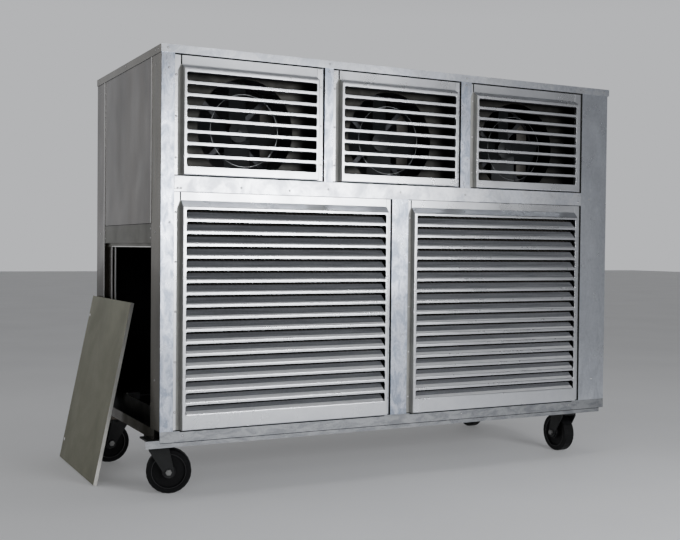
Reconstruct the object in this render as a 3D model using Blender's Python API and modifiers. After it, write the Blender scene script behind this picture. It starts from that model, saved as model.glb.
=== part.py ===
"""Evaporative cooler: a folded sheet-metal cabinet on four swivel casters.

Every shape is laid out from the cabinet's lower left front corner: X to the right, Y to the rear
and Z up, in metres. The empty "cabinet_corner" carries that corner to its place in the world, where
the origin is on the floor, under the middle of the whole object with its leaning access panel.
"""

import math

import bmesh
import bpy
from mathutils import Matrix

# Cabinet
CABINET_WIDTH = 1.880
CABINET_DEPTH = 0.838
CABINET_HEIGHT = 1.300
FLOOR_CLEARANCE = 0.190
FRAME_SHEET = 0.002
PANEL_SHEET = 0.0015
GAP = 0.0003

# Front layout, across: posts, mullions and the raised faces of the louvre panels
LEFT_POST_FACE = 0.044
RIGHT_POST_START = 1.749
UPPER_MULLIONS = ((0.591, 0.624), (1.164, 1.210))
LOWER_MULLION = (0.869, 0.937)
UPPER_RAISED = ((0.069, 0.560), (0.648, 1.137), (1.221, 1.711))
LOWER_RAISED = ((0.068, 0.844), (0.951, 1.715))
LEDGE_DEPTH = 0.0018
LEDGE_WIDTH = 0.018
GROOVE_WIDTH = 0.008
GROOVE_DEPTH = 0.014

# Front layout, upwards
BASE_RAIL_TOP = 0.036
BASE_RAIL_LEG = 0.060
MID_RAIL = (0.824, 0.874)
CAP_SKIRT = 0.026
FRAME_TOP = CABINET_HEIGHT - FRAME_SHEET - GAP

# Louvre panels
RAISE = 0.022
SLOPE_HEIGHT = 0.0165
UPPER_SLOTS = {
    "count": 8, "pitch": 0.0398, "top": 1.212, "height": 0.0275, "margin": 0.0105, "over": 0.012,
}
LOWER_SLOTS = {
    "count": 17, "pitch": 0.0402, "top": 0.7645, "height": 0.0285, "margin": 0.0125, "over": 0.0095,
}
UPPER_VANE = {"depth": 0.014, "rise": -0.010}
LOWER_VANE = {"depth": 0.024, "rise": 0.021}
VANE_SHEET = 0.0014

# Left side
FRONT_LEG = 0.105
REAR_LEG_START = 0.716
FRONT_JAMB_EDGE = 0.140
REAR_JAMB_EDGE = 0.666
JAMB_RECESS = 0.012
REAR_POST_FACE = 0.072
SIDE_RAIL = (0.654, 0.720)
HEADER_LIP = 0.014
TRAY_DEPTH = JAMB_RECESS - GAP

# Rear
REAR_MULLION_HALF = 0.020

# Roof cap
CAP_OVERHANG = FRAME_SHEET + GAP
CAP_RIGHT_OVERHANG = 0.007

# Loose access panel, leaned against the left side
ACCESS_WIDTH = 0.545
ACCESS_LENGTH = 0.645
ACCESS_THICKNESS = 0.012
ACCESS_FRONT = 0.302
ACCESS_FOOT = 0.142
ACCESS_LEAN = math.asin((ACCESS_FOOT - ACCESS_THICKNESS - GAP) / ACCESS_LENGTH)
ACCESS_LIFT = ACCESS_THICKNESS * math.sin(ACCESS_LEAN) + GAP

# Caster beams and casters
BEAM_WIDTH = 0.180
BEAM_HEIGHT = 0.016
BEAM_SPAN = (0.0005, 1.859)
BEAM_LIP = 0.048
BEAM_LIP_TOP = 0.009
FRONT_BEAM = 0.001
REAR_BEAM = 0.610
WHEEL_RADIUS = 0.076
TREAD_WIDTH = 0.046
HUB_WIDTH = 0.058
FORK_INSIDE = 0.0612
FORK_SHEET = 0.005
TRAIL = 0.037
AXLE_RADIUS = 0.006
NUT_RADIUS = 0.0105
NUT_LENGTH = 0.008
PLATE_HALF = (0.050, 0.044)
PLATE_SHEET = 0.006
RACE_RADIUS = 0.036
RACE_HEIGHT = 0.008
CROWN_RADIUS = 0.042
CROWN_BOTTOM = 0.157
FORK_TOP = 0.163
FORK_TIP_RADIUS = 0.019
CASTERS = {
    "front_left": (0.031, 0.120, -17.6),
    "rear_left": (0.048, 0.690, 183.0),
    "front_right": (1.758, 0.095, 88.0),
    "rear_right": (1.758, 0.733, 90.0),
}

# Fans
FAN_CENTRES = (0.322, 0.896, 1.472)
FAN_HEIGHT = 1.045
FAN_OPENING = 0.176
BULKHEAD_FRONT = 0.070
GUARD_FRONT = 0.205
GUARD_SHEET = 0.004
GUARD_RING = (0.178, 0.188)
GUARD_PLATE = 0.062
GUARD_BORE = 0.017
GUARD_HALF_SPOKE = 0.008
STANDOFF_CIRCLE = 0.183
STANDOFF_RADIUS = 0.004
MOTOR_RADIUS = 0.060
MOTOR_LENGTH = 0.105
SHAFT_RADIUS = 0.006
SHAFT_REACH = 0.080
HUB_RADIUS = 0.036
HUB_SPAN = (0.030, 0.072)
BLADE_COUNT = 4
BLADE_PITCH = 28
BLADE_SPAN = (0.026, 0.164)
BLADE_HALF_CHORD = 0.045
BLADE_HALF_SHEET = 0.001

# Water side
PAN_LEFT = 0.045
PAN_FRONT = 0.018
PAN_TOP = 0.085
PAN_SHEET = 0.002
PAD_FRONT = 0.030
PAD_DEPTH = 0.100
PAD_HEIGHT = (0.092, 0.812)
PAD_BAYS = {"left": (0.066, 0.859), "right": (0.947, 1.735)}
HEADER_HEIGHT = 0.836
HEADER_RADIUS = 0.016
HEADER_BEND = 0.030
HEADER_END = 1.730
PUMP_PLACE = (0.260, 0.300)
PUMP_TOP = 0.190
FLOAT_PLACE = (0.085, 0.560)
FLOAT_HEIGHT = 0.078
FLOAT_REACH = 0.140
FLOAT_RADIUS = 0.026

CORNER_X = -(CABINET_WIDTH + CAP_RIGHT_OVERHANG - ACCESS_FOOT) / 2
CORNER_Y = -(ACCESS_FRONT + ACCESS_WIDTH - RAISE) / 2

AXIS_FRAMES = {
    "X": Matrix(((0, 0, 1, 0), (1, 0, 0, 0), (0, 1, 0, 0), (0, 0, 0, 1))),
    "Y": Matrix(((0, 1, 0, 0), (0, 0, 1, 0), (1, 0, 0, 0), (0, 0, 0, 1))),
    "Z": Matrix.Identity(4),
}


def clear_scene():
    for obj in list(bpy.data.objects):
        bpy.data.objects.remove(obj, do_unlink=True)


def new_collection(name):
    collection = bpy.data.collections.new(name)
    bpy.context.scene.collection.children.link(collection)
    return collection


def new_empty(name, place, parent=None, turn=0.0):
    empty = bpy.data.objects.new(name, None)
    empty.location = place
    empty.rotation_euler = (0.0, 0.0, turn)
    empty.parent = parent
    PARTS.objects.link(empty)
    return empty


def new_material(name, color, metallic, roughness):
    material = bpy.data.materials.new(name)
    material.use_nodes = True
    shader = material.node_tree.nodes["Principled BSDF"]
    shader.inputs["Base Color"].default_value = (*color, 1.0)
    shader.inputs["Metallic"].default_value = metallic
    shader.inputs["Roughness"].default_value = roughness
    return material


LOOKS = {
    "galvanised": ((0.62, 0.63, 0.66), 1.0, 0.35),
    "bright": ((0.80, 0.81, 0.83), 1.0, 0.28),
    "side": ((0.36, 0.35, 0.31), 1.0, 0.30),
    "steel": ((0.10, 0.10, 0.11), 0.6, 0.50),
    "rubber": ((0.02, 0.02, 0.02), 0.0, 0.45),
    "zinc": ((0.70, 0.70, 0.70), 1.0, 0.35),
    "pad": ((0.16, 0.13, 0.08), 0.0, 0.95),
    "plastic": ((0.60, 0.60, 0.58), 0.0, 0.50),
}


def add_part(name, mesh, look, parent):
    """Links a mesh as one named part with a material of its own."""
    obj = bpy.data.objects.new(name, mesh)
    mesh.materials.clear()
    mesh.materials.append(new_material(name, *LOOKS[look]))
    obj.parent = parent
    PARTS.objects.link(obj)
    return obj


def add_tool(name, mesh, parent):
    """Links a mesh that only shapes another part."""
    obj = bpy.data.objects.new(name, mesh)
    obj.parent = parent
    obj.hide_render = True
    obj.display_type = "WIRE"
    TOOLS.objects.link(obj)
    return obj


def mesh_from(bm, name):
    """Turns a closed bmesh into a mesh whose faces point outwards."""
    bm.normal_update()
    bmesh.ops.recalc_face_normals(bm, faces=bm.faces)
    if bm.calc_volume(signed=True) < 0.0:
        bmesh.ops.reverse_faces(bm, faces=bm.faces)
    mesh = bpy.data.meshes.new(name)
    bm.to_mesh(mesh)
    bm.free()
    return mesh


def add_box(bm, low, high, frame=None):
    size = [b - a for a, b in zip(low, high)]
    middle = [(a + b) / 2 for a, b in zip(low, high)]
    matrix = Matrix.Translation(middle) @ Matrix.Diagonal((*size, 1.0))
    if frame is not None:
        matrix = frame @ matrix
    bmesh.ops.create_cube(bm, size=1.0, matrix=matrix)


def box_mesh(name, *boxes):
    """A mesh of one or more boxes, each given by its low and high corner."""
    bm = bmesh.new()
    for low, high in boxes:
        add_box(bm, low, high)
    return mesh_from(bm, name)


def rod_mesh(name, radius, axis, low, high, centres, sides=16):
    """A mesh of one or more round rods along an axis, between two stations of that axis."""
    bm = bmesh.new()
    for first, second in centres:
        place = Matrix.Translation((first, second, (low + high) / 2))
        bmesh.ops.create_cone(bm, cap_ends=True, segments=sides, radius1=radius, radius2=radius,
                              depth=high - low, matrix=AXIS_FRAMES[axis] @ place)
    return mesh_from(bm, name)


def outline_mesh(name, outlines, axis, low, high):
    """Extrudes flat outlines along an axis: (Y, Z) for X, (Z, X) for Y and (X, Y) for Z."""
    curve = bpy.data.curves.new(name, "CURVE")
    curve.dimensions = "2D"
    curve.fill_mode = "BOTH"
    curve.extrude = (high - low) / 2
    for outline in outlines:
        spline = curve.splines.new("POLY")
        spline.points.add(len(outline) - 1)
        for point, (first, second) in zip(spline.points, outline):
            point.co = (first, second, 0.0, 1.0)
        spline.use_cyclic_u = True
    guide = bpy.data.objects.new(name, curve)
    TOOLS.objects.link(guide)
    evaluated = guide.evaluated_get(bpy.context.evaluated_depsgraph_get())
    filled = bpy.data.meshes.new_from_object(evaluated)
    bpy.data.objects.remove(guide, do_unlink=True)
    bpy.data.curves.remove(curve)
    bm = bmesh.new()
    bm.from_mesh(filled)
    bpy.data.meshes.remove(filled)
    bmesh.ops.remove_doubles(bm, verts=bm.verts, dist=0.00001)
    bm.transform(AXIS_FRAMES[axis] @ Matrix.Translation((0.0, 0.0, (low + high) / 2)))
    return mesh_from(bm, name)


def profile_mesh(name, profile, closed):
    """An edge profile in the XZ plane, for a Screw modifier about Z."""
    bm = bmesh.new()
    points = [bm.verts.new((radius, 0.0, height)) for radius, height in profile]
    for first, second in zip(points, points[1:]):
        bm.edges.new((first, second))
    if closed:
        bm.edges.new((points[-1], points[0]))
    mesh = bpy.data.meshes.new(name)
    bm.to_mesh(mesh)
    bm.free()
    return mesh


def turn_part(obj, steps):
    """Turns the object's profile about its own Z axis."""
    screw = obj.modifiers.new("Turn", "SCREW")
    screw.axis = "Z"
    screw.steps = steps
    screw.render_steps = steps
    screw.use_merge_vertices = True
    screw.merge_threshold = 0.00001
    screw.use_smooth_shade = True
    return obj


def shape_with(obj, operation, tool):
    boolean = obj.modifiers.new(tool.name, "BOOLEAN")
    boolean.operation = operation
    boolean.solver = "EXACT"
    boolean.object = tool


def arc(centre, radius, start, end, count):
    """Points on an arc, from start to end in degrees."""
    points = []
    for index in range(count + 1):
        angle = math.radians(start + (end - start) * index / count)
        points.append((centre[0] + radius * math.cos(angle), centre[1] + radius * math.sin(angle)))
    return points


# Frame

def front_left_outline():
    """Front face with the ledge behind the louvre flange, and the side leg with its jamb."""
    back = LEDGE_DEPTH + FRAME_SHEET
    ledge = LEFT_POST_FACE + LEDGE_WIDTH
    inner = JAMB_RECESS + FRAME_SHEET
    return [(0.0, 0.0), (LEFT_POST_FACE, 0.0), (LEFT_POST_FACE, LEDGE_DEPTH), (ledge, LEDGE_DEPTH),
            (ledge, back), (FRAME_SHEET, back), (FRAME_SHEET, FRONT_LEG - FRAME_SHEET),
            (inner, FRONT_LEG - FRAME_SHEET), (inner, FRONT_JAMB_EDGE),
            (JAMB_RECESS, FRONT_JAMB_EDGE), (JAMB_RECESS, FRONT_LEG), (0.0, FRONT_LEG)]


def groove_points(face):
    """Shadow groove and ledge on the left of a front face that starts at X = face."""
    back = LEDGE_DEPTH + FRAME_SHEET
    floor = GROOVE_DEPTH + FRAME_SHEET
    near = face - GROOVE_WIDTH
    outer = near - LEDGE_WIDTH
    return [(face + FRAME_SHEET, floor), (near - FRAME_SHEET, floor), (near - FRAME_SHEET, back),
            (outer, back), (outer, LEDGE_DEPTH), (near, LEDGE_DEPTH), (near, GROOVE_DEPTH),
            (face, GROOVE_DEPTH)]


def front_right_outline():
    right = CABINET_WIDTH
    inner = right - JAMB_RECESS
    sheet = FRAME_SHEET
    face = [(RIGHT_POST_START, 0.0), (right, 0.0), (right, FRONT_LEG), (inner, FRONT_LEG),
            (inner, FRONT_JAMB_EDGE), (inner - sheet, FRONT_JAMB_EDGE),
            (inner - sheet, FRONT_LEG - sheet), (right - sheet, FRONT_LEG - sheet),
            (right - sheet, sheet), (RIGHT_POST_START + sheet, sheet)]
    return face + groove_points(RIGHT_POST_START)


def rear_left_outline():
    rear = CABINET_DEPTH
    inner = JAMB_RECESS + FRAME_SHEET
    return [(0.0, REAR_LEG_START), (JAMB_RECESS, REAR_LEG_START), (JAMB_RECESS, REAR_JAMB_EDGE),
            (inner, REAR_JAMB_EDGE), (inner, REAR_LEG_START + FRAME_SHEET),
            (FRAME_SHEET, REAR_LEG_START + FRAME_SHEET), (FRAME_SHEET, rear - FRAME_SHEET),
            (REAR_POST_FACE, rear - FRAME_SHEET), (REAR_POST_FACE, rear), (0.0, rear)]


def build_posts(corner):
    bottom = BASE_RAIL_TOP + GAP
    rear_right = [(CABINET_WIDTH - x, y) for x, y in rear_left_outline()]
    posts = {
        "post_front_left": (front_left_outline(), "galvanised"),
        "post_front_right": (front_right_outline(), "galvanised"),
        "post_rear_left": (rear_left_outline(), "side"),
        "post_rear_right": (rear_right, "side"),
    }
    for name, (outline, look) in posts.items():
        add_part(name, outline_mesh(name, [outline], "Z", bottom, FRAME_TOP), look, corner)


def mullion_outline(face):
    """Front face between two louvres: a ledge on its right, a groove and ledge on its left."""
    start, end = face
    ledge = end + LEDGE_WIDTH
    back = LEDGE_DEPTH + FRAME_SHEET
    right = [(start, 0.0), (end, 0.0), (end, LEDGE_DEPTH), (ledge, LEDGE_DEPTH), (ledge, back),
             (start + FRAME_SHEET, back)]
    return right + groove_points(start)


def build_mullions(corner):
    for side, face in zip(("left", "right"), UPPER_MULLIONS):
        name = "upper_mullion_" + side
        mesh = outline_mesh(name, [mullion_outline(face)], "Z", MID_RAIL[1] + GAP, FRAME_TOP)
        add_part(name, mesh, "galvanised", corner)
    mesh = outline_mesh("lower_mullion", [mullion_outline(LOWER_MULLION)], "Z",
                        BASE_RAIL_TOP + GAP, MID_RAIL[0] - GAP)
    add_part("lower_mullion", mesh, "galvanised", corner)
    middle = CABINET_WIDTH / 2
    start, end = middle - REAR_MULLION_HALF, middle + REAR_MULLION_HALF
    mesh = box_mesh("rear_mullion", ((start, CABINET_DEPTH - FRAME_SHEET, BASE_RAIL_TOP + GAP),
                                     (end, CABINET_DEPTH, FRAME_TOP)))
    add_part("rear_mullion", mesh, "side", corner)


def build_rails(corner):
    """Base angles all round, the strap across the front and the rail over the service opening."""
    leg = BASE_RAIL_LEG
    sheet = FRAME_SHEET
    angle = [(0.0, 0.0), (leg, 0.0), (leg, sheet), (sheet, sheet), (sheet, BASE_RAIL_TOP),
             (0.0, BASE_RAIL_TOP)]
    rear = [(CABINET_DEPTH - y, z) for y, z in angle]
    start, end = leg + GAP, CABINET_DEPTH - leg - GAP
    left = [(z, x) for x, z in angle]
    right = [(z, CABINET_WIDTH - x) for x, z in angle]
    add_part("base_rail_front", outline_mesh("base_rail_front", [angle], "X", 0.0, CABINET_WIDTH),
             "galvanised", corner)
    add_part("base_rail_rear", outline_mesh("base_rail_rear", [rear], "X", 0.0, CABINET_WIDTH),
             "side", corner)
    add_part("base_rail_left", outline_mesh("base_rail_left", [left], "Y", start, end), "side", corner)
    add_part("base_rail_right", outline_mesh("base_rail_right", [right], "Y", start, end),
             "side", corner)
    strap = box_mesh("mid_rail_front", ((LEFT_POST_FACE + GAP, 0.0, MID_RAIL[0]),
                                        (RIGHT_POST_START - GAP, PANEL_SHEET, MID_RAIL[1])))
    add_part("mid_rail_front", strap, "bright", corner)


def build_caster_beams(corner):
    """Shallow channels, open downwards, under the base. The front one has a lip on its left end."""
    top, bottom = -GAP, -BEAM_HEIGHT
    sheet = FRAME_SHEET
    for side, front, look in (("front", FRONT_BEAM, "galvanised"), ("rear", REAR_BEAM, "side")):
        back = front + BEAM_WIDTH
        channel = [(front, bottom), (front + sheet, bottom), (front + sheet, top - sheet),
                   (back - sheet, top - sheet), (back - sheet, bottom), (back, bottom), (back, top),
                   (front, top)]
        name = "caster_beam_" + side
        beam = add_part(name, outline_mesh(name, [channel], "X", *BEAM_SPAN), look, corner)
        if side == "front":
            inner = BEAM_SPAN[0] + sheet
            outline = [(bottom, -BEAM_LIP), (bottom, inner), (top, inner), (top, -2 * GAP),
                       (BEAM_LIP_TOP, -2 * GAP), (BEAM_LIP_TOP, -BEAM_LIP)]
            lip = outline_mesh(name + "_lip", [outline], "Y", front, front + sheet)
            shape_with(beam, "UNION", add_tool(name + "_lip", lip, corner))


# Covers

def add_tray(name, low, high, side, look, corner):
    """A sheet with four returned edges. side is the axis and sign that its open back faces."""
    axis, sign = side
    inner_low = [value + PANEL_SHEET for value in low]
    inner_high = [value - PANEL_SHEET for value in high]
    if sign > 0:
        inner_high[axis] = high[axis] + PANEL_SHEET
    else:
        inner_low[axis] = low[axis] - PANEL_SHEET
    tray = add_part(name, box_mesh(name, (low, high)), look, corner)
    inside = add_tool(name + "_inside", box_mesh(name + "_inside", (inner_low, inner_high)), corner)
    shape_with(tray, "DIFFERENCE", inside)
    return tray


def build_covers(corner):
    front, rear = FRONT_LEG + GAP, REAR_LEG_START - GAP
    right = CABINET_WIDTH
    low_edge = BASE_RAIL_TOP + GAP
    add_tray("side_panel_left_upper", (0.0, front, SIDE_RAIL[1] + GAP), (TRAY_DEPTH, rear, FRAME_TOP),
             (0, 1), "side", corner)
    bottom, top = SIDE_RAIL
    sheet = PANEL_SHEET
    lip = bottom - HEADER_LIP
    rail = [(top, 0.0), (top, TRAY_DEPTH), (top - sheet, TRAY_DEPTH), (top - sheet, sheet),
            (bottom + sheet, sheet), (bottom + sheet, TRAY_DEPTH), (lip, TRAY_DEPTH),
            (lip, TRAY_DEPTH - sheet), (bottom, TRAY_DEPTH - sheet), (bottom, 0.0)]
    add_part("side_rail_left", outline_mesh("side_rail_left", [rail], "Y", front, rear), "side", corner)
    add_tray("side_panel_right", (right - TRAY_DEPTH, front, low_edge), (right, rear, FRAME_TOP),
             (0, -1), "side", corner)
    middle = right / 2
    bays = {"left": (REAR_POST_FACE + GAP, middle - REAR_MULLION_HALF - GAP),
            "right": (middle + REAR_MULLION_HALF + GAP, right - REAR_POST_FACE - GAP)}
    for side, (start, end) in bays.items():
        add_tray("rear_panel_" + side, (start, CABINET_DEPTH - TRAY_DEPTH, low_edge),
                 (end, CABINET_DEPTH, FRAME_TOP), (1, -1), "side", corner)
    low = (-CAP_OVERHANG, -CAP_OVERHANG, CABINET_HEIGHT - CAP_SKIRT)
    high = (right + CAP_RIGHT_OVERHANG, CABINET_DEPTH + CAP_OVERHANG, CABINET_HEIGHT)
    cap = add_part("roof_cap", box_mesh("roof_cap", (low, high)), "bright", corner)
    inner_low = (low[0] + FRAME_SHEET, low[1] + FRAME_SHEET, low[2] - FRAME_SHEET)
    inner_high = (high[0] - FRAME_SHEET, high[1] - FRAME_SHEET, high[2] - FRAME_SHEET)
    inside = add_tool("roof_cap_inside", box_mesh("roof_cap_inside", (inner_low, inner_high)), corner)
    shape_with(cap, "DIFFERENCE", inside)


def build_access_panel(corner):
    """The tray that closes the service opening, leaned on the side. It tips about its outer foot."""
    foot = new_empty("access_panel_foot", (-ACCESS_FOOT, 0.0, ACCESS_LIFT - FLOOR_CLEARANCE), corner)
    foot.rotation_euler = (0.0, ACCESS_LEAN, 0.0)
    low = (0.0, ACCESS_FRONT, 0.0)
    high = (ACCESS_THICKNESS, ACCESS_FRONT + ACCESS_WIDTH, ACCESS_LENGTH)
    return add_tray("access_panel", low, high, (0, 1), "side", foot)


# Louvre panels

def raised_outline(bottom, face_top, top):
    """Cross-section of the raised face, its sloped top and the flat flange above it."""
    slope_top = face_top + SLOPE_HEIGHT
    return [(PANEL_SHEET, bottom), (-RAISE, bottom), (-RAISE, face_top), (0.0, slope_top),
            (0.0, top), (PANEL_SHEET, top)]


def hollow_outline(bottom, face_top):
    """Space behind the raised face, open at the back."""
    slope = SLOPE_HEIGHT / RAISE
    drop = PANEL_SHEET * math.hypot(1.0, slope)
    inner = -RAISE + PANEL_SHEET
    back = 2 * PANEL_SHEET
    low = bottom + PANEL_SHEET
    return [(back, low), (inner, low), (inner, face_top + slope * PANEL_SHEET - drop),
            (back, face_top + slope * (RAISE + back) - drop)]


def vane_outline(vane, slots):
    """A blade lanced from the edge of one slot: inwards and up, or inwards and down."""
    rising = vane["rise"] > 0
    start = slots["top"] - slots["height"] if rising else slots["top"]
    root = start - 0.0010 if rising else start + 0.0010
    front = -RAISE + 0.0002
    tip_y = front + vane["depth"]
    tip_z = start + vane["rise"]
    length = math.hypot(vane["depth"], vane["rise"])
    across = (VANE_SHEET * abs(vane["rise"]) / length, VANE_SHEET * vane["depth"] / length)
    sign = 1 if rising else -1
    return [(front, root), (front + VANE_SHEET, root), (tip_y + across[0], tip_z - sign * across[1]),
            (tip_y, tip_z), (front, start + sign * 0.0004)]


def repeat_down(tool, slots):
    array = tool.modifiers.new("Slots", "ARRAY")
    array.count = slots["count"]
    array.use_relative_offset = False
    array.use_constant_offset = True
    array.constant_offset_displace = (0.0, 0.0, -slots["pitch"])
    array.use_merge_vertices = False


def build_louvre(name, bay, raised, heights, slots, vane, corner):
    bottom, top = heights
    start, end = raised
    face_top = slots["top"] + slots["over"]
    left, right = start + slots["margin"], end - slots["margin"]
    panel = add_part(name, outline_mesh(name, [raised_outline(bottom, face_top, top)], "X", start, end),
                     "bright", corner)
    sheet = PANEL_SHEET
    flanges = add_tool(name + "_flanges", box_mesh(
        name + "_flanges",
        ((bay[0] + GAP, 0.0, bottom), (start + sheet, sheet, top)),
        ((end - sheet, 0.0, bottom), (bay[1] - GROOVE_WIDTH, sheet, top))), corner)
    shape_with(panel, "UNION", flanges)
    hollow = outline_mesh(name + "_hollow", [hollow_outline(bottom, face_top)], "X",
                          start + sheet, end - sheet)
    shape_with(panel, "DIFFERENCE", add_tool(name + "_hollow", hollow, corner))
    slot = box_mesh(name + "_slot",
                    ((left, -RAISE - 0.002, slots["top"] - slots["height"]),
                     (right, -RAISE + 0.003, slots["top"])))
    slot = add_tool(name + "_slot", slot, corner)
    repeat_down(slot, slots)
    shape_with(panel, "DIFFERENCE", slot)
    blade = outline_mesh(name + "_vane", [vane_outline(vane, slots)], "X", left + 0.001, right - 0.001)
    blade = add_tool(name + "_vane", blade, corner)
    repeat_down(blade, slots)
    shape_with(panel, "UNION", blade)


def build_louvres(corner):
    edges = [LEFT_POST_FACE, *UPPER_MULLIONS[0], *UPPER_MULLIONS[1], RIGHT_POST_START]
    upper = (MID_RAIL[1] + GAP, FRAME_TOP)
    for index, side in enumerate(("left", "centre", "right")):
        bay = (edges[2 * index], edges[2 * index + 1])
        build_louvre("fan_louvre_" + side, bay, UPPER_RAISED[index], upper, UPPER_SLOTS, UPPER_VANE,
                     corner)
    edges = [LEFT_POST_FACE, *LOWER_MULLION, RIGHT_POST_START]
    lower = (BASE_RAIL_TOP + GAP, MID_RAIL[0] - GAP)
    for index, side in enumerate(("left", "right")):
        bay = (edges[2 * index], edges[2 * index + 1])
        build_louvre("intake_louvre_" + side, bay, LOWER_RAISED[index], lower, LOWER_SLOTS,
                     LOWER_VANE, corner)


# Fans

def build_bulkhead(corner):
    low = (FRAME_SHEET + GAP, BULKHEAD_FRONT, MID_RAIL[1])
    high = (CABINET_WIDTH - FRAME_SHEET - GAP, BULKHEAD_FRONT + PANEL_SHEET, FRAME_TOP)
    bulkhead = add_part("fan_bulkhead", box_mesh("fan_bulkhead", (low, high)), "galvanised", corner)
    centres = [(FAN_HEIGHT, x) for x in FAN_CENTRES]
    holes = rod_mesh("fan_holes", FAN_OPENING, "Y", BULKHEAD_FRONT - 0.01, BULKHEAD_FRONT + 0.01,
                     centres, sides=32)
    shape_with(bulkhead, "DIFFERENCE", add_tool("fan_holes", holes, corner))


def guard_outlines():
    """A ring with four spokes and a bored centre plate, about (0, 0)."""
    ring, outer = GUARD_RING
    wide = math.degrees(math.asin(GUARD_HALF_SPOKE / ring))
    narrow = math.degrees(math.asin(GUARD_HALF_SPOKE / GUARD_PLATE))
    outlines = [arc((0, 0), outer, 0, 348.75, 31), arc((0, 0), GUARD_BORE, 0, 330, 11)]
    for turn in (45, 135, 225, 315):
        outer_arc = arc((0, 0), ring, turn + wide, turn + 90 - wide, 7)
        inner_arc = arc((0, 0), GUARD_PLATE, turn + 90 - narrow, turn + narrow, 3)
        outlines.append(outer_arc + inner_arc)
    return outlines


def build_fan(side, x, corner):
    """Guard with its stand-offs, motor behind it and rotor in front of it."""
    name = "fan_guard_" + side
    outlines = [[(z + FAN_HEIGHT, across + x) for across, z in outline] for outline in guard_outlines()]
    guard = add_part(name, outline_mesh(name, outlines, "Y", GUARD_FRONT, GUARD_FRONT + GUARD_SHEET),
                     "zinc", corner)
    feet = arc((FAN_HEIGHT, x), STANDOFF_CIRCLE, 45, 315, 3)
    standoffs = rod_mesh(name + "_standoffs", STANDOFF_RADIUS, "Y", BULKHEAD_FRONT + PANEL_SHEET + GAP,
                         GUARD_FRONT + GUARD_SHEET / 2, feet, sides=8)
    shape_with(guard, "UNION", add_tool(name + "_standoffs", standoffs, corner))

    axis = (x, GUARD_FRONT, FAN_HEIGHT)
    towards_rear = (math.radians(-90), 0.0, 0.0)
    case, length = MOTOR_RADIUS, MOTOR_LENGTH
    face, boss = GUARD_SHEET + GAP, GUARD_BORE - 10 * GAP
    motor_profile = [(0.0, length), (case - 0.010, length), (case - 0.002, length - 0.008),
                     (case, length - 0.013), (case, 0.012), (case - 0.008, face + GAP), (boss, face),
                     (boss, -0.012), (SHAFT_RADIUS, -0.012), (SHAFT_RADIUS, -SHAFT_REACH),
                     (0.0, -SHAFT_REACH)]
    name = "fan_motor_" + side
    motor = add_part(name, profile_mesh(name, motor_profile, False), "steel", corner)
    motor.location = axis
    motor.rotation_euler = towards_rear
    turn_part(motor, 20)

    name = "fan_rotor_" + side
    centre = new_empty(name + "_axis", axis, corner)
    near, far = HUB_SPAN
    bore = SHAFT_RADIUS + GAP
    hub_profile = [(0.020, -near), (HUB_RADIUS, -near - 0.006), (HUB_RADIUS, 0.006 - far), (bore, -far),
                   (bore, -near)]
    rotor = add_part(name, profile_mesh(name, hub_profile, True), "steel", centre)
    rotor.rotation_euler = towards_rear
    turn_part(rotor, 16)
    bm = bmesh.new()
    for index in range(BLADE_COUNT):
        turn = Matrix.Rotation(2 * math.pi * index / BLADE_COUNT, 4, "Z")
        pitch = Matrix.Rotation(math.radians(BLADE_PITCH), 4, "X")
        frame = turn @ Matrix.Translation((0.0, 0.0, -(near + far) / 2)) @ pitch
        add_box(bm, (BLADE_SPAN[0], -BLADE_HALF_CHORD, -BLADE_HALF_SHEET),
                (BLADE_SPAN[1], BLADE_HALF_CHORD, BLADE_HALF_SHEET), frame)
    blades = add_tool(name + "_blades", mesh_from(bm, name + "_blades"), centre)
    blades.rotation_euler = towards_rear
    shape_with(rotor, "UNION", blades)


# Water side

def build_pan(corner):
    low = (PAN_LEFT, PAN_FRONT, FRAME_SHEET + GAP)
    high = (CABINET_WIDTH - PAN_LEFT, CABINET_DEPTH - PAN_FRONT, PAN_TOP)
    pan = add_part("sump_pan", box_mesh("sump_pan", (low, high)), "galvanised", corner)
    inner_low = [value + PAN_SHEET for value in low]
    inner_high = (high[0] - PAN_SHEET, high[1] - PAN_SHEET, high[2] + PAN_SHEET)
    inside = add_tool("sump_pan_inside", box_mesh("sump_pan_inside", (inner_low, inner_high)), corner)
    shape_with(pan, "DIFFERENCE", inside)


def build_pads(corner):
    for side, (start, end) in PAD_BAYS.items():
        name = "cooling_pad_" + side
        mesh = box_mesh(name, ((start, PAD_FRONT, PAD_HEIGHT[0]),
                               (end, PAD_FRONT + PAD_DEPTH, PAD_HEIGHT[1])))
        add_part(name, mesh, "pad", corner)


def build_header(corner):
    """Pipe over the pads, with its riser down to the pump's outlet."""
    y = PAD_FRONT + PAD_DEPTH / 2 + 0.020
    x, pump_y = PUMP_PLACE
    bend = HEADER_BEND
    route = [(HEADER_END, y, HEADER_HEIGHT), (x + bend, y, HEADER_HEIGHT),
             (x + bend / 3, y + bend / 3, HEADER_HEIGHT),
             (x, y + bend, HEADER_HEIGHT), (x, pump_y - bend, HEADER_HEIGHT),
             (x, pump_y - bend / 3, HEADER_HEIGHT - bend / 3), (x, pump_y, HEADER_HEIGHT - bend),
             (x, pump_y, PUMP_TOP + GAP)]
    curve = bpy.data.curves.new("spray_header", "CURVE")
    curve.dimensions = "3D"
    curve.bevel_depth = HEADER_RADIUS
    curve.bevel_resolution = 2
    curve.use_fill_caps = True
    spline = curve.splines.new("POLY")
    spline.points.add(len(route) - 1)
    for point, place in zip(spline.points, route):
        point.co = (*place, 1.0)
    header = bpy.data.objects.new("spray_header", curve)
    curve.materials.append(new_material("spray_header", *LOOKS["plastic"]))
    header.parent = corner
    PARTS.objects.link(header)


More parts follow.
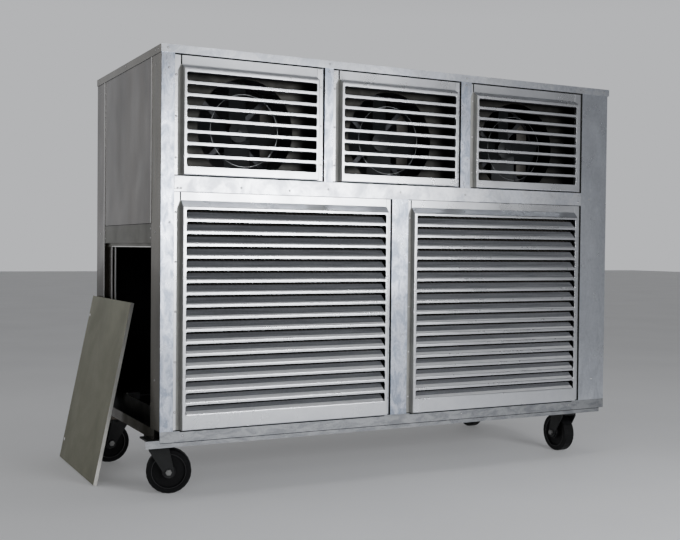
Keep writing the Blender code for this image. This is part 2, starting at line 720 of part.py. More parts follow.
def build_pump(corner):
    bottom = FRAME_SHEET + GAP + PAN_SHEET + GAP
    profile = [(0.0, PUMP_TOP), (0.016, PUMP_TOP), (0.016, 0.165), (0.040, 0.160), (0.045, 0.150),
               (0.045, 0.070), (0.058, 0.060), (0.058, bottom), (0.0, bottom)]
    pump = add_part("pump", profile_mesh("pump", profile, False), "steel", corner)
    pump.location = (*PUMP_PLACE, 0.0)
    turn_part(pump, 20)


def build_float_valve(corner):
    """Valve block on the pan's left wall, with a float arm that swings between its two cheeks."""
    x, y = FLOAT_PLACE
    wall = PAN_LEFT + PAN_SHEET + GAP
    z = FLOAT_HEIGHT
    body = add_part("float_valve", box_mesh("float_valve", (
        (wall, y - 0.012, z - 0.012), (x + 0.010, y + 0.012, z + 0.012))), "zinc", corner)
    slot = add_tool("float_valve_slot", box_mesh("float_valve_slot", (
        (x - 0.012, y - 0.006, z - 0.020), (x + 0.020, y + 0.006, z + 0.020))), corner)
    shape_with(body, "DIFFERENCE", slot)
    pivot = new_empty("float_arm_pivot", (x, y, z), corner)
    radius = FLOAT_RADIUS
    ball = [(FLOAT_REACH + radius * math.cos(math.radians(a)), radius * math.sin(math.radians(a)))
            for a in range(0, 181, 20)]
    reach = [(height, max(size, 0.0)) for height, size in ball]
    profile = [(0.0, reach[0][0])] + [(size, height) for height, size in reach[1:-1]]
    profile += [(0.003, FLOAT_REACH - radius * 0.99), (0.003, 0.006), (0.0055, 0.005),
                (0.0055, -0.005), (0.0, -0.005)]
    arm = add_part("float_arm", profile_mesh("float_arm", profile, False), "plastic", pivot)
    arm.rotation_euler = (0.0, math.radians(90), 0.0)
    turn_part(arm, 14)


# Casters

def leg_outline():
    """Side view of one fork leg, in (X, Z) from the swivel axis on the floor."""
    tip = (TRAIL, WHEEL_RADIUS)
    rounded = arc(tip, FORK_TIP_RADIUS, 0, -180, 8)
    return [(0.036, FORK_TOP), *rounded, (-0.030, FORK_TOP - 0.013), (-0.030, FORK_TOP)]


def wheel_profile():
    """Half section of the wheel about its axle: tread, recessed web and hub, with the bore."""
    half, hub, bore = TREAD_WIDTH / 2, HUB_WIDTH / 2, AXLE_RADIUS + GAP
    radius = WHEEL_RADIUS
    return [(radius - 0.004, half), (radius, half - 0.006), (radius, -half + 0.006),
            (radius - 0.004, -half), (radius - 0.016, -half), (radius - 0.022, -half + 0.008),
            (0.024, -half + 0.008), (0.019, -hub), (bore, -hub), (bore, hub), (0.019, hub),
            (0.024, half - 0.008), (radius - 0.022, half - 0.008), (radius - 0.016, half)]


def build_caster(side, place, corner):
    x, y, heading = place
    plate_top = FLOOR_CLEARANCE - FRAME_SHEET - 2 * GAP
    plate_low = plate_top - PLATE_SHEET
    race_low = plate_low - RACE_HEIGHT
    half_x, half_y = PLATE_HALF
    axis = new_empty("caster_axis_" + side, (x, y, -FLOOR_CLEARANCE), corner)
    name = "caster_plate_" + side
    plate = add_part(name, box_mesh(name, ((-half_x, -half_y, plate_low), (half_x, half_y, plate_top))),
                     "steel", axis)
    race = rod_mesh(name + "_race", RACE_RADIUS, "Z", race_low, plate_low + PLATE_SHEET / 2,
                    [(0.0, 0.0)], sides=20)
    shape_with(plate, "UNION", add_tool(name + "_race", race, axis))

    swivel = new_empty("caster_swivel_" + side, (x, y, -FLOOR_CLEARANCE), corner, math.radians(heading))
    name = "caster_fork_" + side
    crown = rod_mesh(name, CROWN_RADIUS, "Z", CROWN_BOTTOM, race_low - GAP, [(0.0, 0.0)], sides=20)
    fork = add_part(name, crown, "steel", swivel)
    inside, outside = FORK_INSIDE / 2, FORK_INSIDE / 2 + FORK_SHEET
    for hand, low, high in (("near", -outside, -inside), ("far", inside, outside)):
        outline = [(height, along) for along, height in leg_outline()]
        leg = outline_mesh(name + "_leg_" + hand, [outline], "Y", low, high)
        shape_with(fork, "UNION", add_tool(name + "_leg_" + hand, leg, swivel))
    bore = rod_mesh(name + "_bore", AXLE_RADIUS + GAP, "Y", -2 * outside, 2 * outside,
                    [(WHEEL_RADIUS, TRAIL)], sides=12)
    shape_with(fork, "DIFFERENCE", add_tool(name + "_bore", bore, swivel))

    name = "caster_axle_" + side
    end = outside + GAP + NUT_LENGTH
    axle = add_part(name, rod_mesh(name, AXLE_RADIUS, "Y", -end, end, [(WHEEL_RADIUS, TRAIL)], sides=12),
                    "zinc", swivel)
    for hand, low, high in (("head", -end, -outside - GAP), ("nut", outside + GAP, end)):
        hexagon = rod_mesh(name + "_" + hand, NUT_RADIUS, "Y", low, high, [(WHEEL_RADIUS, TRAIL)], sides=6)
        shape_with(axle, "UNION", add_tool(name + "_" + hand, hexagon, swivel))

    spin = new_empty("caster_spin_" + side, (TRAIL, 0.0, WHEEL_RADIUS), swivel)
    name = "caster_wheel_" + side
    wheel = add_part(name, profile_mesh(name, wheel_profile(), True), "rubber", spin)
    wheel.rotation_euler = (math.radians(90), 0.0, 0.0)
    turn_part(wheel, 24)


def build_cooler():
    corner = new_empty("cabinet_corner", (CORNER_X, CORNER_Y, FLOOR_CLEARANCE))
    build_posts(corner)
    build_mullions(corner)
    build_rails(corner)
    build_caster_beams(corner)
    build_covers(corner)
    build_louvres(corner)
    build_bulkhead(corner)
    for side, x in zip(("left", "centre", "right"), FAN_CENTRES):
        build_fan(side, x, corner)
    build_pan(corner)
    build_pads(corner)
    build_header(corner)
    build_pump(corner)
    build_float_valve(corner)
    build_access_panel(corner)
    for side, place in CASTERS.items():
        build_caster(side, place, corner)


clear_scene()
PARTS = new_collection("evaporative_cooler")
TOOLS = new_collection("cutters")
build_cooler()
bpy.context.view_layer.update()
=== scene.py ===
"""Evaporative cooler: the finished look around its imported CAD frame.

Places are given from the cabinet's lower left front corner, X to the right, Y to the rear and Z up,
in metres, and at() carries them to the model's own frame.
"""

import math

import bmesh
import bpy
from mathutils import Matrix, Vector


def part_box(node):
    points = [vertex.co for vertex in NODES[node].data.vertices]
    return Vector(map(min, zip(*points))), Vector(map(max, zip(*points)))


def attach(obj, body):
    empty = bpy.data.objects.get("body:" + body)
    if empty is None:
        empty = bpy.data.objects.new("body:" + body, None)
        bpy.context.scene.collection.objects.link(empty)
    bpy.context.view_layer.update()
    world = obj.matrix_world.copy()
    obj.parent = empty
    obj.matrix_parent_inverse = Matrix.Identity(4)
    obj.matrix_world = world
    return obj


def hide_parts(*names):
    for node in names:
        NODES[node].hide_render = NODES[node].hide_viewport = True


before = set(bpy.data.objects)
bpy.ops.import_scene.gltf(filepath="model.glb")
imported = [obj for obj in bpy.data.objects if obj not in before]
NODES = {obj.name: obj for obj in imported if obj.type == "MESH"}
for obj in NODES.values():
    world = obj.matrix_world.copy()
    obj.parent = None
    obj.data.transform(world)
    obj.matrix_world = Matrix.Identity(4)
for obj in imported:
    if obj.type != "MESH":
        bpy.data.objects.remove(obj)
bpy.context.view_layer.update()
BODY = "cabinet"

CORNER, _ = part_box("base_rail_front")
SIDES = ("front_left", "rear_left", "front_right", "rear_right")
FANS = ("left", "centre", "right")


def at(x, y, z):
    """A place given from the cabinet's corner, in the model's own frame."""
    return CORNER + Vector((x, y, z))


# Camera

CAMERA_PLACE = (-0.995, -3.187, 0.642)
CAMERA_YAW = math.radians(27.39)
CAMERA_PITCH = math.radians(-1.22)
CAMERA_ROLL = math.radians(0.55)
LENS = 53.59
SENSOR = 36.0
FAR = 100.0


def build_camera():
    data = bpy.data.cameras.new("camera")
    data.lens = LENS
    data.sensor_width = SENSOR
    data.clip_end = FAR
    camera = bpy.data.objects.new("camera", data)
    forward = Vector((math.sin(CAMERA_YAW) * math.cos(CAMERA_PITCH),
                      math.cos(CAMERA_YAW) * math.cos(CAMERA_PITCH), math.sin(CAMERA_PITCH)))
    right = Vector((math.cos(CAMERA_YAW), -math.sin(CAMERA_YAW), 0.0))
    up = right.cross(forward)
    across = right * math.cos(CAMERA_ROLL) + up * math.sin(CAMERA_ROLL)
    upright = up * math.cos(CAMERA_ROLL) - right * math.sin(CAMERA_ROLL)
    turn = Matrix((across, upright, -forward)).transposed().to_4x4()
    camera.matrix_world = Matrix.Translation(at(*CAMERA_PLACE)) @ turn
    bpy.context.scene.collection.objects.link(camera)
    bpy.context.scene.camera = camera


build_camera()


# Materials

CLOUD_STOPS = ((0.3, 0.0), (0.7, 1.0))
POLISH_STOPS = (0.30, 0.72)
FACING_LIMIT = 0.6
PAINTED_FACE_CLOUD = (4.0, 4.0, 0.6)
PAINTED_FACE_STRETCH = (1.0, 3.0, 0.35)
BRUSH = (90.0, 2.0, 0.5)
BRUSH_BUMP = (0.06, 0.0006)
WAVE = (5.0, 1.0, 0.4)
WAVE_DISTANCE = 0.02
DULLER = 0.12
SOCKETS = {"emission_strength": "Emission Strength", "specular_ior_level": "Specular IOR Level"}


class Nodes:
    """Short hands for building one procedural material."""

    def __init__(self, name):
        self.material = bpy.data.materials.new(name)
        self.material.use_nodes = True
        self.tree = self.material.node_tree
        self.shader = self.tree.nodes["Principled BSDF"]
        self.place = self.add("ShaderNodeTexCoord").outputs["Object"]

    def add(self, kind, **values):
        node = self.tree.nodes.new(kind)
        for key, value in values.items():
            setattr(node, key, value)
        return node

    def link(self, source, target):
        self.tree.links.new(source, target)

    def stretched(self, scale):
        node = self.add("ShaderNodeMapping")
        node.inputs["Scale"].default_value = scale
        self.link(self.place, node.inputs["Vector"])
        return node.outputs["Vector"]

    def noise(self, scale, detail=3.0, roughness=0.5, vector=None, distortion=0.0):
        node = self.add("ShaderNodeTexNoise")
        node.inputs["Scale"].default_value = scale
        node.inputs["Detail"].default_value = detail
        node.inputs["Roughness"].default_value = roughness
        node.inputs["Distortion"].default_value = distortion
        self.link(self.place if vector is None else vector, node.inputs["Vector"])
        return node.outputs["Fac"]

    def ramp(self, source, stops):
        node = self.add("ShaderNodeValToRGB")
        ramp = node.color_ramp
        while len(ramp.elements) < len(stops):
            ramp.elements.new(0.5)
        for element, (position, color) in zip(ramp.elements, stops):
            element.position = position
            element.color = (*color, 1.0) if isinstance(color, tuple) else (color, color, color, 1.0)
        self.link(source, node.inputs["Fac"])
        return node.outputs["Color"]

    def mix(self, factor, first, second):
        node = self.add("ShaderNodeMix", data_type="RGBA")
        for value, socket in ((factor, node.inputs["Factor"]), (first, node.inputs["A"]),
                              (second, node.inputs["B"])):
            if isinstance(value, bpy.types.NodeSocket):
                self.link(value, socket)
            elif isinstance(value, tuple):
                socket.default_value = (*value, 1.0)
            else:
                socket.default_value = value
        return node.outputs["Result"]

    def bump(self, height, strength, distance, normal=None):
        node = self.add("ShaderNodeBump")
        node.inputs["Strength"].default_value = strength
        node.inputs["Distance"].default_value = distance
        self.link(height, node.inputs["Height"])
        if normal is not None:
            self.link(normal, node.inputs["Normal"])
        return node.outputs["Normal"]

    def finish(self, color=None, roughness=None, normal=None, **constants):
        for socket, value in (("Base Color", color), ("Roughness", roughness)):
            if value is None:
                continue
            if isinstance(value, bpy.types.NodeSocket):
                self.link(value, self.shader.inputs[socket])
            elif isinstance(value, tuple):
                self.shader.inputs[socket].default_value = (*value, 1.0)
            else:
                self.shader.inputs[socket].default_value = value
        if normal is not None:
            self.link(normal, self.shader.inputs["Normal"])
        for name, value in constants.items():
            self.shader.inputs[SOCKETS.get(name, name.title())].default_value = value
        return self.material


def facing(nodes, direction):
    """1 on faces that look along a direction of the piece's own space, 0 elsewhere: the mask for painted
    light and shade on those faces.
    """
    dot = nodes.add("ShaderNodeVectorMath", operation="DOT_PRODUCT")
    nodes.link(nodes.add("ShaderNodeTexCoord").outputs["Normal"], dot.inputs[0])
    dot.inputs[1].default_value = direction
    more = nodes.add("ShaderNodeMath", operation="GREATER_THAN")
    more.inputs[1].default_value = FACING_LIMIT
    nodes.link(dot.outputs["Value"], more.inputs[0])
    return more.outputs[0]


def sheet_metal(name, light, dark, mottle, rough, grain, waviness=0.25, streak=(1.0, 1.0, 1.0),
                spread=0.17, painted_faces=None, fine_share=0.3, metallic=1.0):
    """Mill-finish sheet: cloudy mottling, fine grain and a slightly uneven surface.

    rough is the roughness of its light and dark clouds. painted_faces is another light tone, dark tone,
    roughness and the direction of the faces that have them, and paints the light and shade those faces get.
    """
    nodes = Nodes(name)
    cloud = nodes.noise(mottle, 5.0, 0.62, nodes.stretched(streak), 0.6)
    fine = nodes.noise(mottle * 6.0, 3.0, 0.6)
    tone = nodes.mix(fine_share, nodes.ramp(cloud, ((0.5 - spread, 0.0), (0.5 + spread, 1.0))),
                     nodes.ramp(fine, CLOUD_STOPS))
    color = nodes.mix(tone, dark, light)
    polish = nodes.ramp(cloud, tuple(zip(POLISH_STOPS, (rough[1], rough[0]))))
    if painted_faces is not None:
        painted_face_light, painted_face_dark, painted_face_rough, direction = painted_faces
        side = facing(nodes, direction)
        side_cloud = nodes.noise(*PAINTED_FACE_CLOUD, nodes.stretched(PAINTED_FACE_STRETCH))
        side_tone = nodes.mix(nodes.ramp(side_cloud, CLOUD_STOPS), painted_face_dark, painted_face_light)
        color = nodes.mix(side, color, side_tone)
        polish = nodes.mix(side, polish, (painted_face_rough, painted_face_rough, painted_face_rough))
    brushed = nodes.noise(*BRUSH, nodes.stretched(grain))
    wavy = nodes.noise(*WAVE)
    normal = nodes.bump(wavy, waviness, WAVE_DISTANCE)
    normal = nodes.bump(brushed, *BRUSH_BUMP, normal)
    return nodes.finish(color, polish, normal, metallic=metallic)


ALONG_X = (0.12, 4.0, 6.0)
ALONG_Z = (6.0, 6.0, 0.12)

LEFTWARD = (-1.0, 0.0, 0.0)
FORWARD = (0.0, -1.0, 0.0)
# Painted shade: the left-facing faces of the front parts are darker because less light falls on them.
LEFT_FACE_SHADE = ((0.150, 0.136, 0.112), (0.094, 0.088, 0.072), 0.24, LEFTWARD)
# Painted shade: the inner faces of the rear and right panels are dark for the shade inside the cabinet.
INNER_SHADE_TONES = ((0.030, 0.030, 0.031), (0.018, 0.018, 0.019), 0.5)

GALVANISED = sheet_metal("galvanised_sheet", (0.72, 0.76, 0.85), (0.29, 0.335, 0.425), 30.0,
                         (0.24, 0.38), ALONG_Z, streak=(1.2, 1.2, 0.55), spread=0.08, painted_faces=LEFT_FACE_SHADE,
                         fine_share=0.26)
BASE_SHEET = sheet_metal("base_sheet", (0.45, 0.46, 0.475), (0.25, 0.26, 0.275), 30.0, (0.28, 0.42),
                         ALONG_X, streak=(0.5, 1.3, 1.3), spread=0.09, painted_faces=LEFT_FACE_SHADE)
CAP = sheet_metal("cap_sheet", (0.86, 0.88, 0.92), (0.50, 0.525, 0.58), 13.0, (0.26, 0.40), ALONG_X,
                  spread=0.08, painted_faces=LEFT_FACE_SHADE)
WIDE_POST = sheet_metal("wide_post_sheet", (0.73, 0.76, 0.82), (0.47, 0.495, 0.54), 16.0, (0.24, 0.38),
                        ALONG_Z, streak=(1.2, 1.2, 0.5), spread=0.12, painted_faces=LEFT_FACE_SHADE)
# Painted highlight: the rolled nose of each intake blade, lit where it faces up.
NOSE_HIGHLIGHT = sheet_metal("vane_nose_highlight", (0.93, 0.935, 0.95), (0.74, 0.75, 0.78), 8.0, (0.34, 0.42), ALONG_X,
                   waviness=0.1, metallic=0.40)
LOUVRE = sheet_metal("louvre_sheet", (0.82, 0.835, 0.86), (0.68, 0.695, 0.73), 6.0, (0.24, 0.33),
                     ALONG_X, waviness=0.12)
# Painted shade: the louvre sheet made dark and matt for the left wall of each raised face, and for a band
# beside it.
LEFT_WALL_SHADE = sheet_metal("louvre_left_wall_shade", (0.36, 0.36, 0.335), (0.25, 0.25, 0.235), 8.0, (0.5, 0.6), ALONG_Z,
                   metallic=0.0)
# Painted shade: the exhaust blades are a darker copy of the louvre sheet, for the shade inside the slots.
EXHAUST_VANE_SHADE = sheet_metal("exhaust_vane_sheet_shade", (0.30, 0.30, 0.315), (0.20, 0.20, 0.215), 8.0, (0.36, 0.48), ALONG_X,
                   waviness=0.1)
# Painted shade: the left side's sheet and rails are painted dark for the light that does not reach them.
LEFT_SIDE_SHADE = sheet_metal("left_side_sheet_shade", (0.108, 0.092, 0.078), (0.054, 0.049, 0.044), 3.0, (0.17, 0.27), ALONG_Z,
                   waviness=0.35, streak=(1.0, 1.0, 0.35))
LEFT_RAIL_SHADE = sheet_metal("left_rail_sheet_shade", (0.100, 0.096, 0.074), (0.066, 0.063, 0.050), 6.0, (0.28, 0.38),
                        ALONG_Z)
# Painted light: the forward-facing edges of the access panel are light.
ACCESS = sheet_metal("access_sheet", (0.215, 0.212, 0.150), (0.162, 0.160, 0.113), 5.0, (0.42, 0.50),
                     ALONG_Z, waviness=0.15, painted_faces=((0.80, 0.79, 0.74), (0.60, 0.59, 0.55), 0.5, FORWARD))
REAR = sheet_metal("rear_sheet", (0.62, 0.63, 0.65), (0.46, 0.47, 0.49), 5.0, (0.25, 0.38), ALONG_Z,
                   painted_faces=(*INNER_SHADE_TONES, FORWARD))
RIGHT = sheet_metal("right_sheet", (0.62, 0.63, 0.65), (0.46, 0.47, 0.49), 5.0, (0.25, 0.38), ALONG_Z,
                    painted_faces=(*INNER_SHADE_TONES, LEFTWARD))
# Painted shade: the galvanised bulkhead is painted near black for the shade inside the cabinet.
INTERIOR_SHADE = sheet_metal("interior_shade_sheet", (0.046, 0.045, 0.041), (0.016, 0.016, 0.016), 9.0, (0.40, 0.55),
                     ALONG_Z)
PAN = sheet_metal("pan_sheet", (0.07, 0.07, 0.072), (0.04, 0.04, 0.042), 9.0, (0.45, 0.6), ALONG_X)
# Painted highlight: folded edges painted bright where they catch the light.
EDGE_HIGHLIGHT = sheet_metal("folded_edge_highlight", (0.88, 0.87, 0.85), (0.74, 0.73, 0.71), 20.0, (0.30, 0.40), ALONG_Z,
                   waviness=0.1)


def plain(name, color, roughness, scale, metallic=0.0, contrast=0.35, bumpy=0.15, **constants):
    """A lightly mottled paint, plastic or rubber."""
    nodes = Nodes(name)
    cloud = nodes.noise(scale, 4.0, 0.6)
    dark = tuple(value * (1.0 - contrast) for value in color)
    tone = nodes.mix(nodes.ramp(cloud, CLOUD_STOPS), dark, color)
    polish = nodes.ramp(cloud, ((0.3, min(1.0, roughness + DULLER)), (0.7, roughness)))
    normal = nodes.bump(nodes.noise(scale * 12.0, 2.0), bumpy, 0.0008)
    return nodes.finish(tone, polish, normal, metallic=metallic, **constants)


BLACK_PAINT = plain("black_paint", (0.016, 0.017, 0.017), 0.40, 30.0, specular_ior_level=0.4)
RUBBER = plain("black_rubber", (0.0050, 0.0050, 0.0055), 0.46, 24.0, bumpy=0.08, specular_ior_level=0.18)
WHEEL_CORE = plain("wheel_core", (0.008, 0.008, 0.009), 0.14, 18.0, bumpy=0.03, specular_ior_level=0.9)
NUT = plain("zinc_nut", (0.34, 0.34, 0.33), 0.35, 60.0, metallic=1.0, contrast=0.3)
# Painted highlight on the access panel's top edge.
ACCESS_TOP_HIGHLIGHT = plain("access_top_highlight", (0.62, 0.61, 0.56), 0.5, 50.0, metallic=0.3, contrast=0.25)
ZINC = plain("zinc_plate", (0.78, 0.78, 0.79), 0.28, 60.0, metallic=1.0, contrast=0.15)
GUARD_WIRE = plain("guard_wire", (0.07, 0.072, 0.078), 0.45, 60.0, metallic=0.8, contrast=0.2)
RING_WIRE = plain("ring_wire", (0.34, 0.35, 0.36), 0.35, 60.0, metallic=1.0, contrast=0.5)
MOTOR_PAINT = plain("motor_paint", (0.018, 0.019, 0.021), 0.42, 22.0)
# Painted shade: the intake blades above their nose are a darker copy of the louvre sheet, for the shade
# inside the slots.
INTAKE_VANE_SHADE = sheet_metal("intake_vane_sheet_shade", (0.35, 0.36, 0.38), (0.15, 0.155, 0.17), 26.0, (0.42, 0.55),
                          ALONG_X, waviness=0.05, streak=(0.16, 3.0, 3.0), metallic=0.45)
BLADE = plain("blade_metal", (0.022, 0.024, 0.026), 0.42, 12.0, metallic=0.2)
BRACKET = plain("fan_bracket", (0.15, 0.14, 0.125), 0.45, 14.0, metallic=0.3, contrast=0.4)
PIPE = plain("grey_pipe", (0.42, 0.43, 0.42), 0.45, 12.0, contrast=0.15)
FLOAT = plain("float_plastic", (0.05, 0.05, 0.055), 0.45, 18.0, contrast=0.2)
RIVET_RING = plain("rivet_ring", (0.10, 0.10, 0.11), 0.55, 40.0, metallic=0.5)
HOLE = plain("hole_shadow", (0.006, 0.006, 0.006), 0.85, 40.0)


FLUTES = (("Scale", 38.0), ("Distortion", 1.2))
STAIN = (5.0, 5.0, 0.65)
FLUTE_BUMP = (0.8, 0.004)


def pad_material():
    """Corrugated cellulose: slanting flutes in damp brown paper."""
    nodes = Nodes("cellulose_pad")
    wave = nodes.add("ShaderNodeTexWave", wave_type="BANDS", bands_direction="DIAGONAL")
    for socket, value in FLUTES:
        wave.inputs[socket].default_value = value
    nodes.link(nodes.place, wave.inputs["Vector"])
    stain = nodes.noise(*STAIN)
    paper = nodes.mix(nodes.ramp(stain, CLOUD_STOPS), (0.012, 0.010, 0.007), (0.030, 0.025, 0.017))
    color = nodes.mix(wave.outputs["Fac"], (0.004, 0.004, 0.003), paper)
    normal = nodes.bump(wave.outputs["Fac"], *FLUTE_BUMP)
    return nodes.finish(color, 0.9, normal)


PAD = pad_material()
FOLD_RADIUS = 0.0007
FOLD_ANGLE = math.radians(40)


def paint(names, material):
    for name in names:
        mesh = NODES[name].data
        mesh.materials.clear()
        mesh.materials.append(material)


def soften(names):
    """Rounds the folded edges of sheet parts just enough to catch the light."""
    for name in names:
        bevel = NODES[name].modifiers.new("edge", "BEVEL")
        bevel.width = FOLD_RADIUS
        bevel.segments = 2
        bevel.limit_method = "ANGLE"
        bevel.angle_limit = FOLD_ANGLE
        bevel.use_clamp_overlap = True


def paint_frame():
    paint(("post_front_left", "upper_mullion_left", "upper_mullion_right", "lower_mullion"), GALVANISED)
    paint(("post_front_right",), WIDE_POST)
    paint(("base_rail_front", "caster_beam_front"), BASE_SHEET)
    paint(("roof_cap", "mid_rail_front"), CAP)
    paint(("side_panel_left_upper", "post_rear_left", "base_rail_left", "caster_beam_rear"), LEFT_SIDE_SHADE)
    paint(("access_panel",), ACCESS)
    paint(("side_rail_left",), LEFT_RAIL_SHADE)
    paint(("rear_panel_left", "rear_panel_right", "rear_mullion", "base_rail_rear"), REAR)
    paint(("side_panel_right", "post_rear_right", "base_rail_right"), RIGHT)
    paint(("fan_bulkhead",), INTERIOR_SHADE)
    paint(("sump_pan",), PAN)
    paint(("cooling_pad_left", "cooling_pad_right"), PAD)
    paint(["fan_motor_" + side for side in FANS], MOTOR_PAINT)
    paint(["fan_rotor_" + side for side in FANS], BLADE)
    paint(["fan_guard_" + side for side in FANS], GUARD_WIRE)
    for side in SIDES:
        paint(("caster_plate_" + side, "caster_fork_" + side), BLACK_PAINT)
        paint(("caster_wheel_" + side,), RUBBER)
        paint(("caster_axle_" + side,), NUT)
    paint(("spray_header",), PIPE)
    paint(("pump",), MOTOR_PAINT)
    paint(("float_valve",), ZINC)
    paint(("float_arm",), FLOAT)
    soften(("roof_cap", "post_front_left", "post_front_right", "post_rear_left", "post_rear_right",
            "mid_rail_front", "base_rail_front", "upper_mullion_left", "upper_mullion_right",
            "lower_mullion", "side_rail_left", "side_panel_left_upper", "access_panel"))


paint_frame()


# Building pieces

SHARP_ANGLE = math.radians(34)
WELD = 0.00002
DOME_RINGS = ((1.0, -0.3), (1.0, 0.25), (0.86, 0.62), (0.55, 0.90), (0.0, 1.0))


class Piece:
    """Gathers meshes into one object with several materials."""

    def __init__(self, name, *materials):
        self.name = name
        self.materials = materials
        self.bm = bmesh.new()

    def take(self, source, slot, matrix=None, smooth=False, split=()):
        """Adds a bmesh and frees it. split holds heights, each with the slot of the faces above it."""
        if matrix is not None:
            source.transform(matrix)
        source.normal_update()
        bmesh.ops.recalc_face_normals(source, faces=source.faces)
        offset = {vert: self.bm.verts.new(vert.co) for vert in source.verts}
        for face in source.faces:
            copy = self.bm.faces.new([offset[vert] for vert in face.verts])
            copy.material_index = slot
            for height, upper_slot in split:
                if face.calc_center_median().z > height:
                    copy.material_index = upper_slot
            copy.smooth = smooth
        source.free()

    def finish(self, body, record_slot, replaced=()):
        mesh = bpy.data.meshes.new(self.name)
        self.bm.to_mesh(mesh)
        self.bm.free()
        for material in self.materials:
            mesh.materials.append(material)
        mesh.set_sharp_from_angle(angle=SHARP_ANGLE)
        obj = bpy.data.objects.new(self.name, mesh)
        bpy.context.scene.collection.objects.link(obj)
        weighted = obj.modifiers.new("flat_faces", "WEIGHTED_NORMAL")
        weighted.keep_sharp = True
        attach(obj, body)
        if replaced:
            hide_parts(*replaced)


def box_bm(low, high):
    bm = bmesh.new()
    size = [b - a for a, b in zip(low, high)]
    middle = at(*[(a + b) / 2 for a, b in zip(low, high)])
    bmesh.ops.create_cube(bm, size=1.0, matrix=Matrix.Translation(middle) @ Matrix.Diagonal((*size, 1.0)))
    return bm


def rolled_box_bm(low, high, radius, segments=2):
    bm = box_bm(low, high)
    bmesh.ops.bevel(bm, geom=bm.edges[:], offset=radius, segments=segments, profile=0.5,
                    affect="EDGES", clamp_overlap=True)
    return bm


def sweep_bm(outline, stations):
    """A closed (Y, Z) outline carried along X. Each station is X and a shift for each outline point."""
    bm = bmesh.new()
    rings = []
    for x, insets in stations:
        rings.append([bm.verts.new(at(x + inset, y, z)) for (y, z), inset in zip(outline, insets)])
    count = len(outline)
    for first, second in zip(rings, rings[1:]):
        for index in range(count):
            after = (index + 1) % count
            bm.faces.new((first[index], first[after], second[after], second[index]))
    bm.faces.new(rings[0])
    bm.faces.new(rings[-1][::-1])
    return bm


def thick_outline(line, thickness):
    """Closes an open (Y, Z) line into a sheet of that thickness, on its right-hand side."""
    back = []
    for index, (y, z) in enumerate(line):
        before = line[max(index - 1, 0)]
        after = line[min(index + 1, len(line) - 1)]
        dy, dz = after[0] - before[0], after[1] - before[1]
        length = math.hypot(dy, dz)
        back.append((y + dz / length * thickness, z - dy / length * thickness))
    return list(line) + back[::-1]


def rounded(low, high, radius, count=4):
    """Corners of a rounded rectangle in (X, Z)."""
    points = []
    left, right = low[0] + radius, high[0] - radius
    bottom, top = low[1] + radius, high[1] - radius
    for x, z, start in ((right, top, 0), (left, top, 90), (left, bottom, 180), (right, bottom, 270)):
        for index in range(count + 1):
            angle = math.radians(start + 90 * index / count)
            points.append((x + radius * math.cos(angle), z + radius * math.sin(angle)))
    return points


def plate_bm(outer, holes, front, thickness, edge):
    """A flat plate in the XZ plane with rounded edges, its front at Y = front."""
    curve = bpy.data.curves.new("plate", "CURVE")
    curve.dimensions = "2D"
    curve.fill_mode = "BOTH"
    curve.bevel_depth = edge
    curve.bevel_resolution = 1
    curve.offset = -edge
    curve.extrude = thickness / 2 - edge
    for outline in [outer, *holes]:
        spline = curve.splines.new("POLY")
        spline.points.add(len(outline) - 1)
        for point, (x, z) in zip(spline.points, outline):
            point.co = (x, z, 0.0, 1.0)
        spline.use_cyclic_u = True
    guide = bpy.data.objects.new("plate", curve)
    bpy.context.scene.collection.objects.link(guide)
    evaluated = guide.evaluated_get(bpy.context.evaluated_depsgraph_get())
    mesh = bpy.data.meshes.new_from_object(evaluated)
    bpy.data.objects.remove(guide, do_unlink=True)
    bm = bmesh.new()
    bm.from_mesh(mesh)
    bpy.data.meshes.remove(mesh)
    bmesh.ops.remove_doubles(bm, verts=bm.verts, dist=WELD)
    stand = Matrix(((1, 0, 0, 0), (0, 0, -1, 0), (0, 1, 0, 0), (0, 0, 0, 1)))
    bm.transform(Matrix.Translation(at(0.0, front + thickness / 2, 0.0)) @ stand)
    return bm


def strip_bm(outline, front, back):
    """A flat (X, Z) outline with straight sides between two Y stations."""
    bm = bmesh.new()
    near = [bm.verts.new(at(x, front, z)) for x, z in outline]
    far = [bm.verts.new(at(x, back, z)) for x, z in outline]
    bm.faces.new(near)
    bm.faces.new(far[::-1])
    for index in range(len(outline)):
        after = (index + 1) % len(outline)
        bm.faces.new((near[index], near[after], far[after], far[index]))
    return bm


def dome_bm(place, normal, radius, height, sides=12):
    """A rivet head: a low dome with a thin rim, its rings given as shares of radius and height."""
    bm = bmesh.new()
    rings = []
    for share, lift in DOME_RINGS:
        if share == 0.0:
            rings.append([bm.verts.new((0.0, 0.0, height))])
            continue
        rings.append([bm.verts.new((radius * share * math.cos(2 * math.pi * i / sides),
                                    radius * share * math.sin(2 * math.pi * i / sides), height * lift))
                      for i in range(sides)])
    for first, second in zip(rings, rings[1:]):
        for index in range(sides):
            after = (index + 1) % sides
            if len(second) == 1:
                bm.faces.new((first[index], first[after], second[0]))
            else:
                bm.faces.new((first[index], first[after], second[after], second[index]))
    bm.faces.new(rings[0][::-1])
    turn = Vector((0.0, 0.0, 1.0)).rotation_difference(Vector(normal)).to_matrix().to_4x4()
    bm.transform(Matrix.Translation(at(*place)) @ turn)
    return bm


# Louvre panels

SHEET = 0.0015
FOLD_SHEET = 0.0013
BLADE_SHEET = 0.0012
RAISE = 0.022
LIP = 0.0022
HAIR = 0.0004
LEFT_POST_FACE = 0.044
RIGHT_POST_START = 1.749
UPPER_MULLIONS = ((0.591, 0.624), (1.164, 1.210))
LOWER_MULLION = (0.869, 0.937)
UPPER_RAISED = ((0.069, 0.560), (0.648, 1.137), (1.221, 1.711))
LOWER_RAISED = ((0.068, 0.844), (0.951, 1.715))
GROOVE = 0.0095

